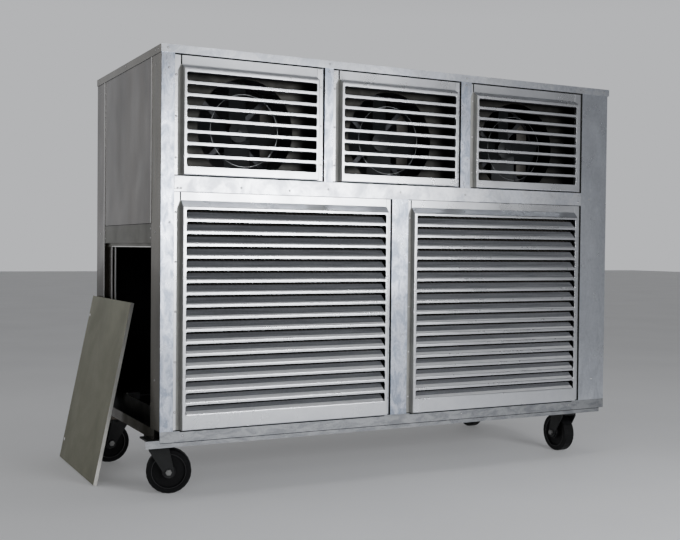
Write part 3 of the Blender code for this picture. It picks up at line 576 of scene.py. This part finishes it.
# The slots: "first" is the top of the top one, "margin" is beside them and "over" is the flat face over
# them. The plate is open "above" and "below" a slot to make room for its blade's root. "slope" is the
# height of the sloped top, and "gaps" are the gaps under and over the whole panel, filled with painted
# shade.
UPPER_PANEL = {
    "bottom": 0.8786, "top": 1.2685, "slope": 0.013, "gaps": ((0.8744, 0.8784), (1.2687, 1.2975)),
    "count": 8, "pitch": 0.0398, "first": 1.212, "height": 0.0275,
    "margin": 0.0105, "over": 0.013, "above": 0.0024, "below": 0.0, "intake": False,
}
LOWER_PANEL = {
    "bottom": 0.0400, "top": 0.8215, "slope": 0.0195, "gaps": ((0.0366, 0.0398), (0.8217, 0.8236)),
    "count": 17, "pitch": 0.0402, "first": 0.7645, "height": 0.0285,
    "margin": 0.0125, "over": 0.0095, "above": 0.0010, "below": 0.0035, "intake": True,
}

SLOT_GROW = 0.0010
SLOT_CORNER = 0.0066
PLATE_EDGE = 0.0005
BLADE_END_GAP = 0.0012
BLADE_TAPER = 0.0030
BLADE_STEPS = 9

EXHAUST_SETBACK = 0.0004
EXHAUST_ROOT = 0.0024
EXHAUST_ROLL = 0.0014
EXHAUST_TURN = math.radians(80)
EXHAUST_POINTS = 6
EXHAUST_REACH = 0.010
INTAKE_SETBACK = 0.0003
INTAKE_ROOT = 0.0035
INTAKE_ROLL = 0.0045
INTAKE_TURN = math.radians(48)
INTAKE_POINTS = 8
INTAKE_REACH = 0.0310
BLADE_TAIL = 0.001

# Where the painted highlight on an intake blade's nose starts, how high it reaches, and the rows over which
# it grows.
HIGHLIGHT_START = 0.0004
HIGHLIGHT_RISE = (0.0012, 0.0085)
HIGHLIGHT_ROWS = (6, 13)

CREST_ROLL = ((0.0, -0.0016), (0.0006, 0.0002), (0.0016, 0.0012))
CREST_FOOT = ((-0.0022, -0.0006), (-0.0006, 0.0006), (0.0, 0.0022))
SILL_ROLL = ((0.0, LIP), (0.0006, 0.0006), (LIP, 0.0))

# The band of painted shade beside each left wall: its width, and how far its slanted top drops.
SHADE_BAND = 0.0148
SEAM = 0.0052
SHADE_BAND_DROP = 0.006
TIP_RISE = 0.001
SHADE_BAND_FACES = (-0.0003, -0.00005)
SEAM_DEPTH = 0.0006
GAP_DEPTHS = (0.0005, 0.0013)
FLANGE_EDGE = 0.0003

SHEET_SLOT, EXHAUST_SHADE_SLOT, LEFT_WALL_SHADE_SLOT, INTAKE_SHADE_SLOT, DARK_SLOT, HIGHLIGHT_SLOT = range(6)


def roll(front, start, radius, turn, count, way):
    """Points of an edge rolled inwards from the face, up when way is 1 and down when it is -1."""
    points = []
    for step in range(count):
        angle = turn * step / (count - 1)
        points.append((front + radius * (1 - math.cos(angle)), start + way * radius * math.sin(angle)))
    return points


def further(point, length, turn, way):
    """The point a length beyond the given one, straight on from a roll."""
    return (point[0] + length * math.sin(turn), point[1] + way * length * math.cos(turn))


def exhaust_vane(slot_top):
    """Blade from a slot's top edge, rolled inwards and down."""
    front, start = -RAISE + EXHAUST_SETBACK, slot_top + EXHAUST_ROOT
    line = [(front, start + BLADE_TAIL)]
    line += roll(front, start, EXHAUST_ROLL, EXHAUST_TURN, EXHAUST_POINTS, -1)
    line.append(further(line[-1], EXHAUST_REACH, EXHAUST_TURN, -1))
    return line


def highlight_rise(index):
    """Height of the painted highlight on a blade's nose. The low blades have it further up."""
    first, last = HIGHLIGHT_ROWS
    share = min(1.0, max(0.0, (index - first) / (last - first)))
    return HIGHLIGHT_RISE[0] + (HIGHLIGHT_RISE[1] - HIGHLIGHT_RISE[0]) * share * share * (3 - 2 * share)


def intake_vane(slot_bottom, highlight_height):
    """Blade from the top of a bar, rolled inwards and up."""
    front, start = -RAISE + INTAKE_SETBACK, slot_bottom - INTAKE_ROOT
    line = [(front, start - BLADE_TAIL)]
    line += roll(front, start, INTAKE_ROLL, INTAKE_TURN, INTAKE_POINTS, 1)
    edge = line[-1]
    line.append(further(edge, highlight_height / math.cos(INTAKE_TURN), INTAKE_TURN, 1))
    line.append(further(edge, INTAKE_REACH, INTAKE_TURN, 1))
    return line


def vane_stations(outline, start, end):
    """Both ends of a blade draw in as it leaves the face."""
    root = outline[0][1]
    reach = max(abs(z - root) for _, z in outline)
    insets = [BLADE_TAPER * math.sqrt(abs(z - root) / reach) for _, z in outline]
    stations = []
    for index in range(BLADE_STEPS + 1):
        x = start + (end - start) * index / BLADE_STEPS
        way = {0: 1.0, BLADE_STEPS: -1.0}.get(index, 0.0)
        stations.append((x, [way * value for value in insets]))
    return stations


def add_blade(piece, panel, index, raised, slot_low, slot_high):
    start = raised[0] + panel["margin"] + BLADE_END_GAP
    end = raised[1] - panel["margin"] - BLADE_END_GAP
    if panel["intake"]:
        outline = thick_outline(intake_vane(slot_low, highlight_rise(index)), BLADE_SHEET)
        highlight_from = CORNER.z + slot_low + HIGHLIGHT_START
        piece.take(sweep_bm(outline, vane_stations(outline, start, end)), SHEET_SLOT, smooth=True,
                   split=((highlight_from, HIGHLIGHT_SLOT), (highlight_from + highlight_rise(index), INTAKE_SHADE_SLOT)))
    else:
        outline = thick_outline(exhaust_vane(slot_high)[::-1], BLADE_SHEET)
        piece.take(sweep_bm(outline, vane_stations(outline, start, end)), EXHAUST_SHADE_SLOT, smooth=True)


def add_face(piece, panel, raised, face_top):
    """The slotted plate, with a blade at each slot."""
    start, end = raised
    side = panel["margin"] - SLOT_GROW
    holes = []
    for index in range(panel["count"]):
        high = panel["first"] - index * panel["pitch"]
        low = high - panel["height"]
        holes.append(rounded((start + side, low - panel["below"] - SLOT_GROW),
                             (end - side, high + panel["above"]), SLOT_CORNER))
        add_blade(piece, panel, index, raised, low, high)
    low, high = panel["bottom"] + LIP, face_top - LIP / 2
    outer = [(start + LIP, low), (end - LIP, low), (end - LIP, high), (start + LIP, high)]
    piece.take(plate_bm(outer, holes, -RAISE, FOLD_SHEET, PLATE_EDGE), SHEET_SLOT)


def side_wall_bm(base, inward, bottom, face_top, slope_top, turns=4):
    """A wall from the cabinet to the raised face, rolled over at the face."""
    def top_at(y):
        return slope_top + (face_top - slope_top) * min(1.0, -y / RAISE)

    rim = [(base, 0.0)]
    for index in range(turns + 1):
        angle = math.radians(90 * index / turns)
        rim.append((base + inward * (LIP - LIP * math.cos(angle)), -RAISE + LIP - LIP * math.sin(angle)))
    back = [(x + inward * FOLD_SHEET, max(y + FOLD_SHEET, -RAISE + FOLD_SHEET)) for x, y in rim]
    bm = bmesh.new()
    low_ring = [bm.verts.new(at(x, y, bottom)) for x, y in rim]
    high_ring = [bm.verts.new(at(x, y, top_at(y))) for x, y in rim]
    low_back = [bm.verts.new(at(x, y, bottom)) for x, y in back]
    high_back = [bm.verts.new(at(x, y, top_at(front_y))) for (x, y), (_, front_y) in zip(back, rim)]
    for index in range(len(rim) - 1):
        after = index + 1
        bm.faces.new((low_ring[index], low_ring[after], high_ring[after], high_ring[index]))
        bm.faces.new((low_back[index], high_back[index], high_back[after], low_back[after]))
        bm.faces.new((low_ring[index], low_back[index], low_back[after], low_ring[after]))
        bm.faces.new((high_ring[index], high_ring[after], high_back[after], high_back[index]))
    bm.faces.new((low_ring[0], high_ring[0], high_back[0], low_back[0]))
    bm.faces.new((low_ring[-1], low_back[-1], high_back[-1], high_ring[-1]))
    return bm


def folded_bm(outline, start, end):
    """A folded sheet of constant section between two X places."""
    zero = [0.0] * len(outline)
    return sweep_bm(outline, [(start + HAIR, zero), (end - HAIR, zero)])


def add_rim(piece, panel, raised, face_top, slope_top):
    """Side walls, the sloped top with its flange and the rolled bottom edge."""
    start, end = raised
    bottom, top = panel["bottom"], panel["top"]
    # The left wall is painted shade; the right one is plain louvre sheet.
    piece.take(side_wall_bm(start, 1.0, bottom, face_top, slope_top), LEFT_WALL_SHADE_SLOT, smooth=True)
    piece.take(side_wall_bm(end, -1.0, bottom, face_top, slope_top), SHEET_SLOT, smooth=True)
    crest = [(-RAISE + depth, face_top + rise) for depth, rise in CREST_ROLL]
    crest += [(depth, slope_top + rise) for depth, rise in CREST_FOOT]
    crest.append((0.0, top))
    piece.take(folded_bm(thick_outline(crest, FOLD_SHEET), start, end), SHEET_SLOT, smooth=True)
    sill = [(-RAISE + depth, bottom + rise) for depth, rise in SILL_ROLL]
    sill.append((0.0, bottom))
    piece.take(folded_bm(thick_outline(sill, -FOLD_SHEET), start, end), SHEET_SLOT, smooth=True)


def add_flanges(piece, panel, bay, raised, face_top, slope_top):
    """Flat flanges beside the raised face, a dark seam and a band of painted shade at its left, and dark
    boxes of painted shade in the gaps.
    """
    start, end = raised
    bottom, top = panel["bottom"], panel["top"]
    tip = slope_top + TIP_RISE
    left, right = bay[0] + HAIR, bay[1] - GROOVE
    piece.take(box_bm((left, 0.0, bottom), (start - 0.0001, SHEET, tip)), SHEET_SLOT)
    piece.take(box_bm((left, 0.0, tip), (start - SEAM, SHEET, top)), SHEET_SLOT)
    piece.take(box_bm((start - SEAM, SEAM_DEPTH, tip), (start, SHEET, top)), DARK_SLOT)
    # Painted shade: a dark band on the flange beside the left wall, with a slanted top.
    shade_band = [(start - SHADE_BAND, bottom), (start, bottom), (start, tip), (start - SEAM, tip),
             (start - SHADE_BAND, face_top - SHADE_BAND_DROP)]
    piece.take(strip_bm(shade_band, *SHADE_BAND_FACES), LEFT_WALL_SHADE_SLOT)
    piece.take(rolled_box_bm((end + HAIR, 0.0, bottom), (right, SHEET, top), FLANGE_EDGE, 1), SHEET_SLOT)
    # Painted shade: dark boxes fill the gaps under and over the panel.
    for low, high in panel["gaps"]:
        piece.take(box_bm((left, GAP_DEPTHS[0], low), (right, GAP_DEPTHS[1], high)), DARK_SLOT)


def build_louvre(name, bay, raised, panel):
    """The pressed panel that takes the place of one plain louvre."""
    piece = Piece(name + "_panel", LOUVRE, EXHAUST_VANE_SHADE, LEFT_WALL_SHADE, INTAKE_VANE_SHADE, HOLE, NOSE_HIGHLIGHT)
    face_top = panel["first"] + panel["over"]
    slope_top = face_top + panel["slope"]
    add_face(piece, panel, raised, face_top)
    add_rim(piece, panel, raised, face_top, slope_top)
    add_flanges(piece, panel, bay, raised, face_top, slope_top)
    piece.finish(BODY, "bright", (name,))


def build_louvres():
    edges = (LEFT_POST_FACE, *UPPER_MULLIONS[0], *UPPER_MULLIONS[1], RIGHT_POST_START)
    for side, raised, bay in zip(FANS, UPPER_RAISED, zip(edges[::2], edges[1::2])):
        build_louvre("fan_louvre_" + side, bay, raised, UPPER_PANEL)
    edges = (LEFT_POST_FACE, *LOWER_MULLION, RIGHT_POST_START)
    for side, raised, bay in zip(("left", "right"), LOWER_RAISED, zip(edges[::2], edges[1::2])):
        build_louvre("intake_louvre_" + side, bay, raised, LOWER_PANEL)


build_louvres()


# Grooves and seams

UPPER_GROOVE = (0.8745, 1.2975)
LOWER_GROOVE = (0.0365, 0.8235)
GROOVE_DEPTHS = (0.0030, 0.0135)
GROOVE_GAP = 0.0003
BEAM_SEAM = ((0.0010, 0.0003, -0.0022), (1.8580, 0.0022, -0.0001))
# Painted shadow: a dark line on the base rail under each lower panel.
SILL_SHADOW = (0.0322, 0.0362)
SILL_SHADOW_DEPTHS = (-0.0003, 0.0002)
TAB_SEAMS = (((0.0436, -0.0004, 0.8330), (0.0448, 0.0002, 0.8740)),
             ((0.0436, -0.0004, 0.8316), (0.0690, 0.0002, 0.8330)))


def build_grooves():
    """Shadow in the deep grooves beside each bay."""
    piece = Piece("groove_shadows", HOLE)
    grooves = ((UPPER_MULLIONS[0][0], UPPER_GROOVE), (UPPER_MULLIONS[1][0], UPPER_GROOVE),
               (LOWER_MULLION[0], LOWER_GROOVE), (RIGHT_POST_START, UPPER_GROOVE),
               (RIGHT_POST_START, LOWER_GROOVE))
    for face, (low, high) in grooves:
        piece.take(box_bm((face - GROOVE + GROOVE_GAP, GROOVE_DEPTHS[0], low),
                          (face - GROOVE_GAP, GROOVE_DEPTHS[1], high)), 0)
    piece.finish(BODY, "steel")


def build_seams():
    """Dark joints of the base rail on its beam and of the mid rail's left tab, and a painted shadow on the
    base rail under the lower panels.
    """
    piece = Piece("front_seams_and_sill_shadow", HOLE)
    piece.take(box_bm(*BEAM_SEAM), 0)
    for start, end in LOWER_RAISED:
        piece.take(box_bm((start, SILL_SHADOW_DEPTHS[0], SILL_SHADOW[0]), (end, SILL_SHADOW_DEPTHS[1], SILL_SHADOW[1])), 0)
    for low, high in TAB_SEAMS:
        piece.take(box_bm(low, high), 0)
    piece.finish(BODY, "steel")


build_grooves()
build_seams()


# Rivets

CAP_FACE = -0.0023
RIVET_SHADOW = (1.45, 0.0003)
PANEL_RIVET = (0.0026, 0.0014)
FRAME_RIVET = (0.0026, 0.0012)
CAP_RIVET = (0.0024, 0.0011)
JAMB_RIVET = (0.0028, 0.0014)
CAP_RIVET_HEIGHT = 1.288
UPPER_RIVET_COLUMNS = (0.049, 0.576, 0.629, 1.150, 1.215, 1.728)
UPPER_RIVET_ROWS = (0.934, 1.069, 1.204)
LOWER_RIVET_COLUMNS = (0.0495, 0.855, 0.943, 1.728)
LOWER_RIVET_ROWS = (0.099, 0.264, 0.430, 0.593, 0.756)
MID_RAIL_RIVETS = ((0.056, 0.835), (0.067, 0.835), (0.279, 0.843), (0.458, 0.839), (0.607, 0.849),
                   (0.903, 0.849), (1.187, 0.849), (1.735, 0.838), (1.735, 0.862))
FRAME_RIVETS = ((0.029, 0.722), (0.025, 1.225), (1.790, 0.849), (1.815, 0.120), (0.078, 0.020),
                (0.610, 0.020), (1.180, 0.020), (1.700, 0.020), (0.607, 1.262), (1.187, 1.262))
CAP_RIVETS = (0.020, 0.607, 1.187, 1.860)
JAMB_RIVETS = ((0.112, 0.672), (0.112, 0.703), (0.708, 0.672), (0.708, 0.703))
SIDE_POST_COLUMNS = (0.060, 0.780)
SIDE_POST_ROWS = (0.200, 0.690, 1.240)
SIDE_CAP_RIVETS = (0.030, 0.060, 0.420, 0.800)


def rivet(piece, place, normal, size):
    """A domed head on a dark ring of shadow. size is its radius and height."""
    radius, height = size
    piece.take(dome_bm(place, normal, radius, height), 0, smooth=True)
    piece.take(dome_bm(place, normal, radius * RIVET_SHADOW[0], RIVET_SHADOW[1]), 1)


def build_front_rivets():
    piece = Piece("front_rivets", ZINC, RIVET_RING)
    panel_places = [(x, z) for x in UPPER_RIVET_COLUMNS for z in UPPER_RIVET_ROWS]
    panel_places += [(x, z) for x in LOWER_RIVET_COLUMNS for z in LOWER_RIVET_ROWS]
    for x, z in panel_places:
        rivet(piece, (x, 0.0, z), FORWARD, PANEL_RIVET)
    for x, z in MID_RAIL_RIVETS + FRAME_RIVETS:
        rivet(piece, (x, 0.0, z), FORWARD, FRAME_RIVET)
    for x in CAP_RIVETS:
        rivet(piece, (x, CAP_FACE, CAP_RIVET_HEIGHT), FORWARD, CAP_RIVET)
    piece.finish(BODY, "zinc")


def build_side_rivets():
    piece = Piece("side_rivets", ZINC, RIVET_RING)
    for y, z in JAMB_RIVETS:
        rivet(piece, (0.0, y, z), LEFTWARD, JAMB_RIVET)
    for y in SIDE_POST_COLUMNS:
        for z in SIDE_POST_ROWS:
            rivet(piece, (0.0, y, z), LEFTWARD, FRAME_RIVET)
    for y in SIDE_CAP_RIVETS:
        rivet(piece, (CAP_FACE, y, CAP_RIVET_HEIGHT), LEFTWARD, CAP_RIVET)
    piece.finish(BODY, "zinc")


build_front_rivets()
build_side_rivets()


# Left side: edges, seams and the loose panel's fittings

SIDE_EDGES = (((-0.0022, 0.1044, 0.7210), (0.0004, 0.1080, 1.2735)),
              ((-0.0022, 0.7160, 0.0370), (0.0004, 0.7206, 1.2735)))
SLEEVE_EDGES = (((0.0094, 0.1420, 0.6400), (0.0101, 0.6470, 0.6432)),
                ((0.0098, 0.6460, 0.0400), (0.0133, 0.6520, 0.6390)),
                ((0.0145, 0.6130, 0.0920), (0.0185, 0.6200, 0.6390)))
COVER_SEAM = ((-0.0003, 0.1056, 0.7188), (0.0004, 0.7156, 0.7208))
ACCESS_LENGTH = 0.645
ACCESS_FOOT = 0.1297
ACCESS_LEAN = math.asin(ACCESS_FOOT / ACCESS_LENGTH)
ACCESS_TOP_EDGE = ((0.0, 0.3024, 0.6448), (0.0120, 0.8466, 0.6452))
ACCESS_SCREWS = ((0.832, 0.570), (0.827, 0.075))
ACCESS_HOLE = (0.345, 0.566)
SCREW_SIZE = (0.0062, 0.0022)
HOLE_SIZE = (0.0050, 0.0004)


def build_side_edges():
    """Folded edges and the sleeve round the service opening, painted bright as highlights, and the seam
    over it.
    """
    piece = Piece("side_edge_highlights_and_seam", EDGE_HIGHLIGHT, HOLE)
    for low, high in SIDE_EDGES + SLEEVE_EDGES:
        piece.take(box_bm(low, high), 0)
    piece.take(box_bm(*COVER_SEAM), 1)
    piece.finish(BODY, "bright")


def build_access_fittings():
    """Screws, the finger hole as a dark disc of painted shade, and the light top edge of the loose panel, a
    painted highlight.
    """
    low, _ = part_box("access_panel")
    foot = Matrix.Translation(Vector((low.x, CORNER.y, low.z))) @ Matrix.Rotation(ACCESS_LEAN, 4, "Y")
    lean = foot @ Matrix.Translation(-CORNER)
    piece = Piece("access_fittings", ZINC, HOLE, ACCESS_TOP_HIGHLIGHT)
    for y, z in ACCESS_SCREWS:
        piece.take(dome_bm((0.0, y, z), LEFTWARD, *SCREW_SIZE), 0, lean, smooth=True)
    piece.take(dome_bm((0.0, *ACCESS_HOLE), LEFTWARD, *HOLE_SIZE), 1, lean)
    piece.take(box_bm(*ACCESS_TOP_EDGE), 2, lean)
    piece.finish("access_panel", "zinc")


# Fans and wheels

GUARD_RING = (0.125, 0.0009, 0.084)
BRACKET_LOW = (0.112, 0.2125, -0.095)
BRACKET_HIGH = (0.162, 0.2155, 0.115)
BRACKET_EDGE = 0.0008
CASTER_HEADINGS = {"front_left": -17.6, "rear_left": 183.0, "front_right": 88.0, "rear_right": 90.0}
WHEEL_RINGS = ((0.0575, 0.0016, 0.0205), (0.0215, 0.0012, 0.0265))
FACE_ON = Matrix.Rotation(math.pi / 2, 4, "X")


def torus_bm(radius, wire, sides=36, corners=6):
    """A ring of wire about the Z axis."""
    bm = bmesh.new()
    loops = []
    for index in range(sides):
        turn = 2 * math.pi * index / sides
        loop = []
        for corner in range(corners):
            angle = 2 * math.pi * corner / corners
            reach = radius + wire * math.cos(angle)
            lift = wire * math.sin(angle)
            loop.append(bm.verts.new((reach * math.cos(turn), reach * math.sin(turn), lift)))
        loops.append(loop)
    for first, second in zip(loops, loops[1:] + loops[:1]):
        for corner in range(corners):
            after = (corner + 1) % corners
            bm.faces.new((first[corner], first[after], second[after], second[corner]))
    return bm


def build_fan_details():
    """Wire guard rings in front of each rotor and the motor's bracket behind it."""
    piece = Piece("fan_details", RING_WIRE, BRACKET)
    radius, wire, depth = GUARD_RING
    for side in FANS:
        rotor_low, rotor_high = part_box("fan_rotor_" + side)
        centre = (rotor_low + rotor_high) / 2 - CORNER
        place = Matrix.Translation(at(centre.x, depth, centre.z)) @ FACE_ON
        piece.take(torus_bm(radius, wire), 0, place, smooth=True)
        hub = Vector((centre.x, 0.0, centre.z))
        piece.take(rolled_box_bm(hub + Vector(BRACKET_LOW), hub + Vector(BRACKET_HIGH), BRACKET_EDGE, 1), 1)
    piece.finish(BODY, "zinc")


def build_wheel_details():
    """Glossy rims and hub rings on both sides of each wheel."""
    for side in SIDES:
        low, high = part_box("caster_wheel_" + side)
        heading = Matrix.Rotation(math.radians(CASTER_HEADINGS[side]), 4, "Z")
        wheel = Matrix.Translation((low + high) / 2) @ heading
        piece = Piece("wheel_rims_" + side, WHEEL_CORE)
        for hand in (-1.0, 1.0):
            for radius, wire, across in WHEEL_RINGS:
                stand = Matrix.Translation((0.0, hand * across, 0.0)) @ FACE_ON
                piece.take(torus_bm(radius, wire), 0, wheel @ stand, smooth=True)
        piece.finish("caster_wheel_" + side, "rubber")


build_side_edges()
build_wheel_details()
build_access_fittings()
build_fan_details()


# Stage

FLOOR_SIZE = 30.0
FLOOR_DROP = 0.0005
FLOOR_GLOW = 0.12
SKY_PALE = ((0.0, 0.66), (0.22, 0.66), (0.45, 0.24), (1.0, 0.06))
SKY_DIM = ((0.0, 0.17), (0.15, 0.17), (0.5, 0.10), (1.0, 0.06))
SKY_TINT = (1.0, 1.015, 1.05)
SKY_STRENGTH = 0.95
SKY_BLEND = (("From Min", -0.35), ("From Max", 0.45), ("To Min", 0.0), ("To Max", 1.0))


def build_floor():
    mesh = bpy.data.meshes.new("floor")
    bm = bmesh.new()
    bmesh.ops.create_grid(bm, x_segments=1, y_segments=1, size=FLOOR_SIZE)
    bm.to_mesh(mesh)
    bm.free()
    floor = bpy.data.objects.new("floor", mesh)
    bpy.context.scene.collection.objects.link(floor)
    floor.location = (0.0, 0.0, -FLOOR_DROP)
    nodes = Nodes("pale_floor")
    cloud = nodes.noise(1.2, 2.0)
    color = nodes.mix(nodes.ramp(cloud, CLOUD_STOPS), (0.74, 0.75, 0.77), (0.79, 0.80, 0.82))
    mesh.materials.append(nodes.finish(color, 0.7, emission_strength=FLOOR_GLOW))


def sky_ramp(tree, source, stops):
    node = tree.nodes.new("ShaderNodeValToRGB")
    while len(node.color_ramp.elements) < len(stops):
        node.color_ramp.elements.new(0.5)
    for element, (position, value) in zip(node.color_ramp.elements, stops):
        element.position = position
        element.color = (*[value * tint for tint in SKY_TINT], 1.0)
    tree.links.new(source, node.inputs["Fac"])
    return node.outputs["Color"]


def build_world():
    """A pale studio behind the object and a dim one in front of it, both darker overhead."""
    world = bpy.data.worlds.new("studio")
    bpy.context.scene.world = world
    world.use_nodes = True
    tree = world.node_tree
    direction = tree.nodes.new("ShaderNodeTexCoord")
    split = tree.nodes.new("ShaderNodeSeparateXYZ")
    tree.links.new(direction.outputs["Generated"], split.inputs["Vector"])
    behind = tree.nodes.new("ShaderNodeMapRange")
    behind.interpolation_type = "SMOOTHSTEP"
    for socket, value in SKY_BLEND:
        behind.inputs[socket].default_value = value
    tree.links.new(split.outputs["Y"], behind.inputs["Value"])
    blend = tree.nodes.new("ShaderNodeMix")
    blend.data_type = "RGBA"
    tree.links.new(behind.outputs["Result"], blend.inputs["Factor"])
    tree.links.new(sky_ramp(tree, split.outputs["Z"], SKY_DIM), blend.inputs["A"])
    tree.links.new(sky_ramp(tree, split.outputs["Z"], SKY_PALE), blend.inputs["B"])
    background = tree.nodes["Background"]
    tree.links.new(blend.outputs["Result"], background.inputs["Color"])
    background.inputs["Strength"].default_value = SKY_STRENGTH


def area_light(name, place, target, size, power, color=(1.0, 1.0, 1.0)):
    data = bpy.data.lights.new(name, "AREA")
    data.shape = "RECTANGLE"
    data.size, data.size_y = size
    data.energy = power
    data.color = color
    light = bpy.data.objects.new(name, data)
    bpy.context.scene.collection.objects.link(light)
    light.location = at(*place)
    aim = at(*target) - at(*place)
    light.rotation_euler = aim.to_track_quat("-Z", "Y").to_euler()


def build_lights():
    area_light("key", (1.70, -3.2, 0.94), (0.5, 0.0, 0.8), (1.62, 0.64), 68.0, (0.97, 0.98, 1.0))
    area_light("front_fill", (-1.6, -3.2, 1.9), (0.4, 0.0, 0.7), (1.4, 1.4), 14.0, (0.94, 0.97, 1.0))
    area_light("overhead", (0.9, 0.0, 3.6), (0.9, 0.2, 0.0), (3.0, 1.8), 22.0)
    area_light("left", (-3.2, 1.6, 1.4), (0.0, 0.4, 0.7), (1.6, 1.8), 8.0, (1.0, 0.96, 0.90))


build_floor()
build_world()
build_lights()
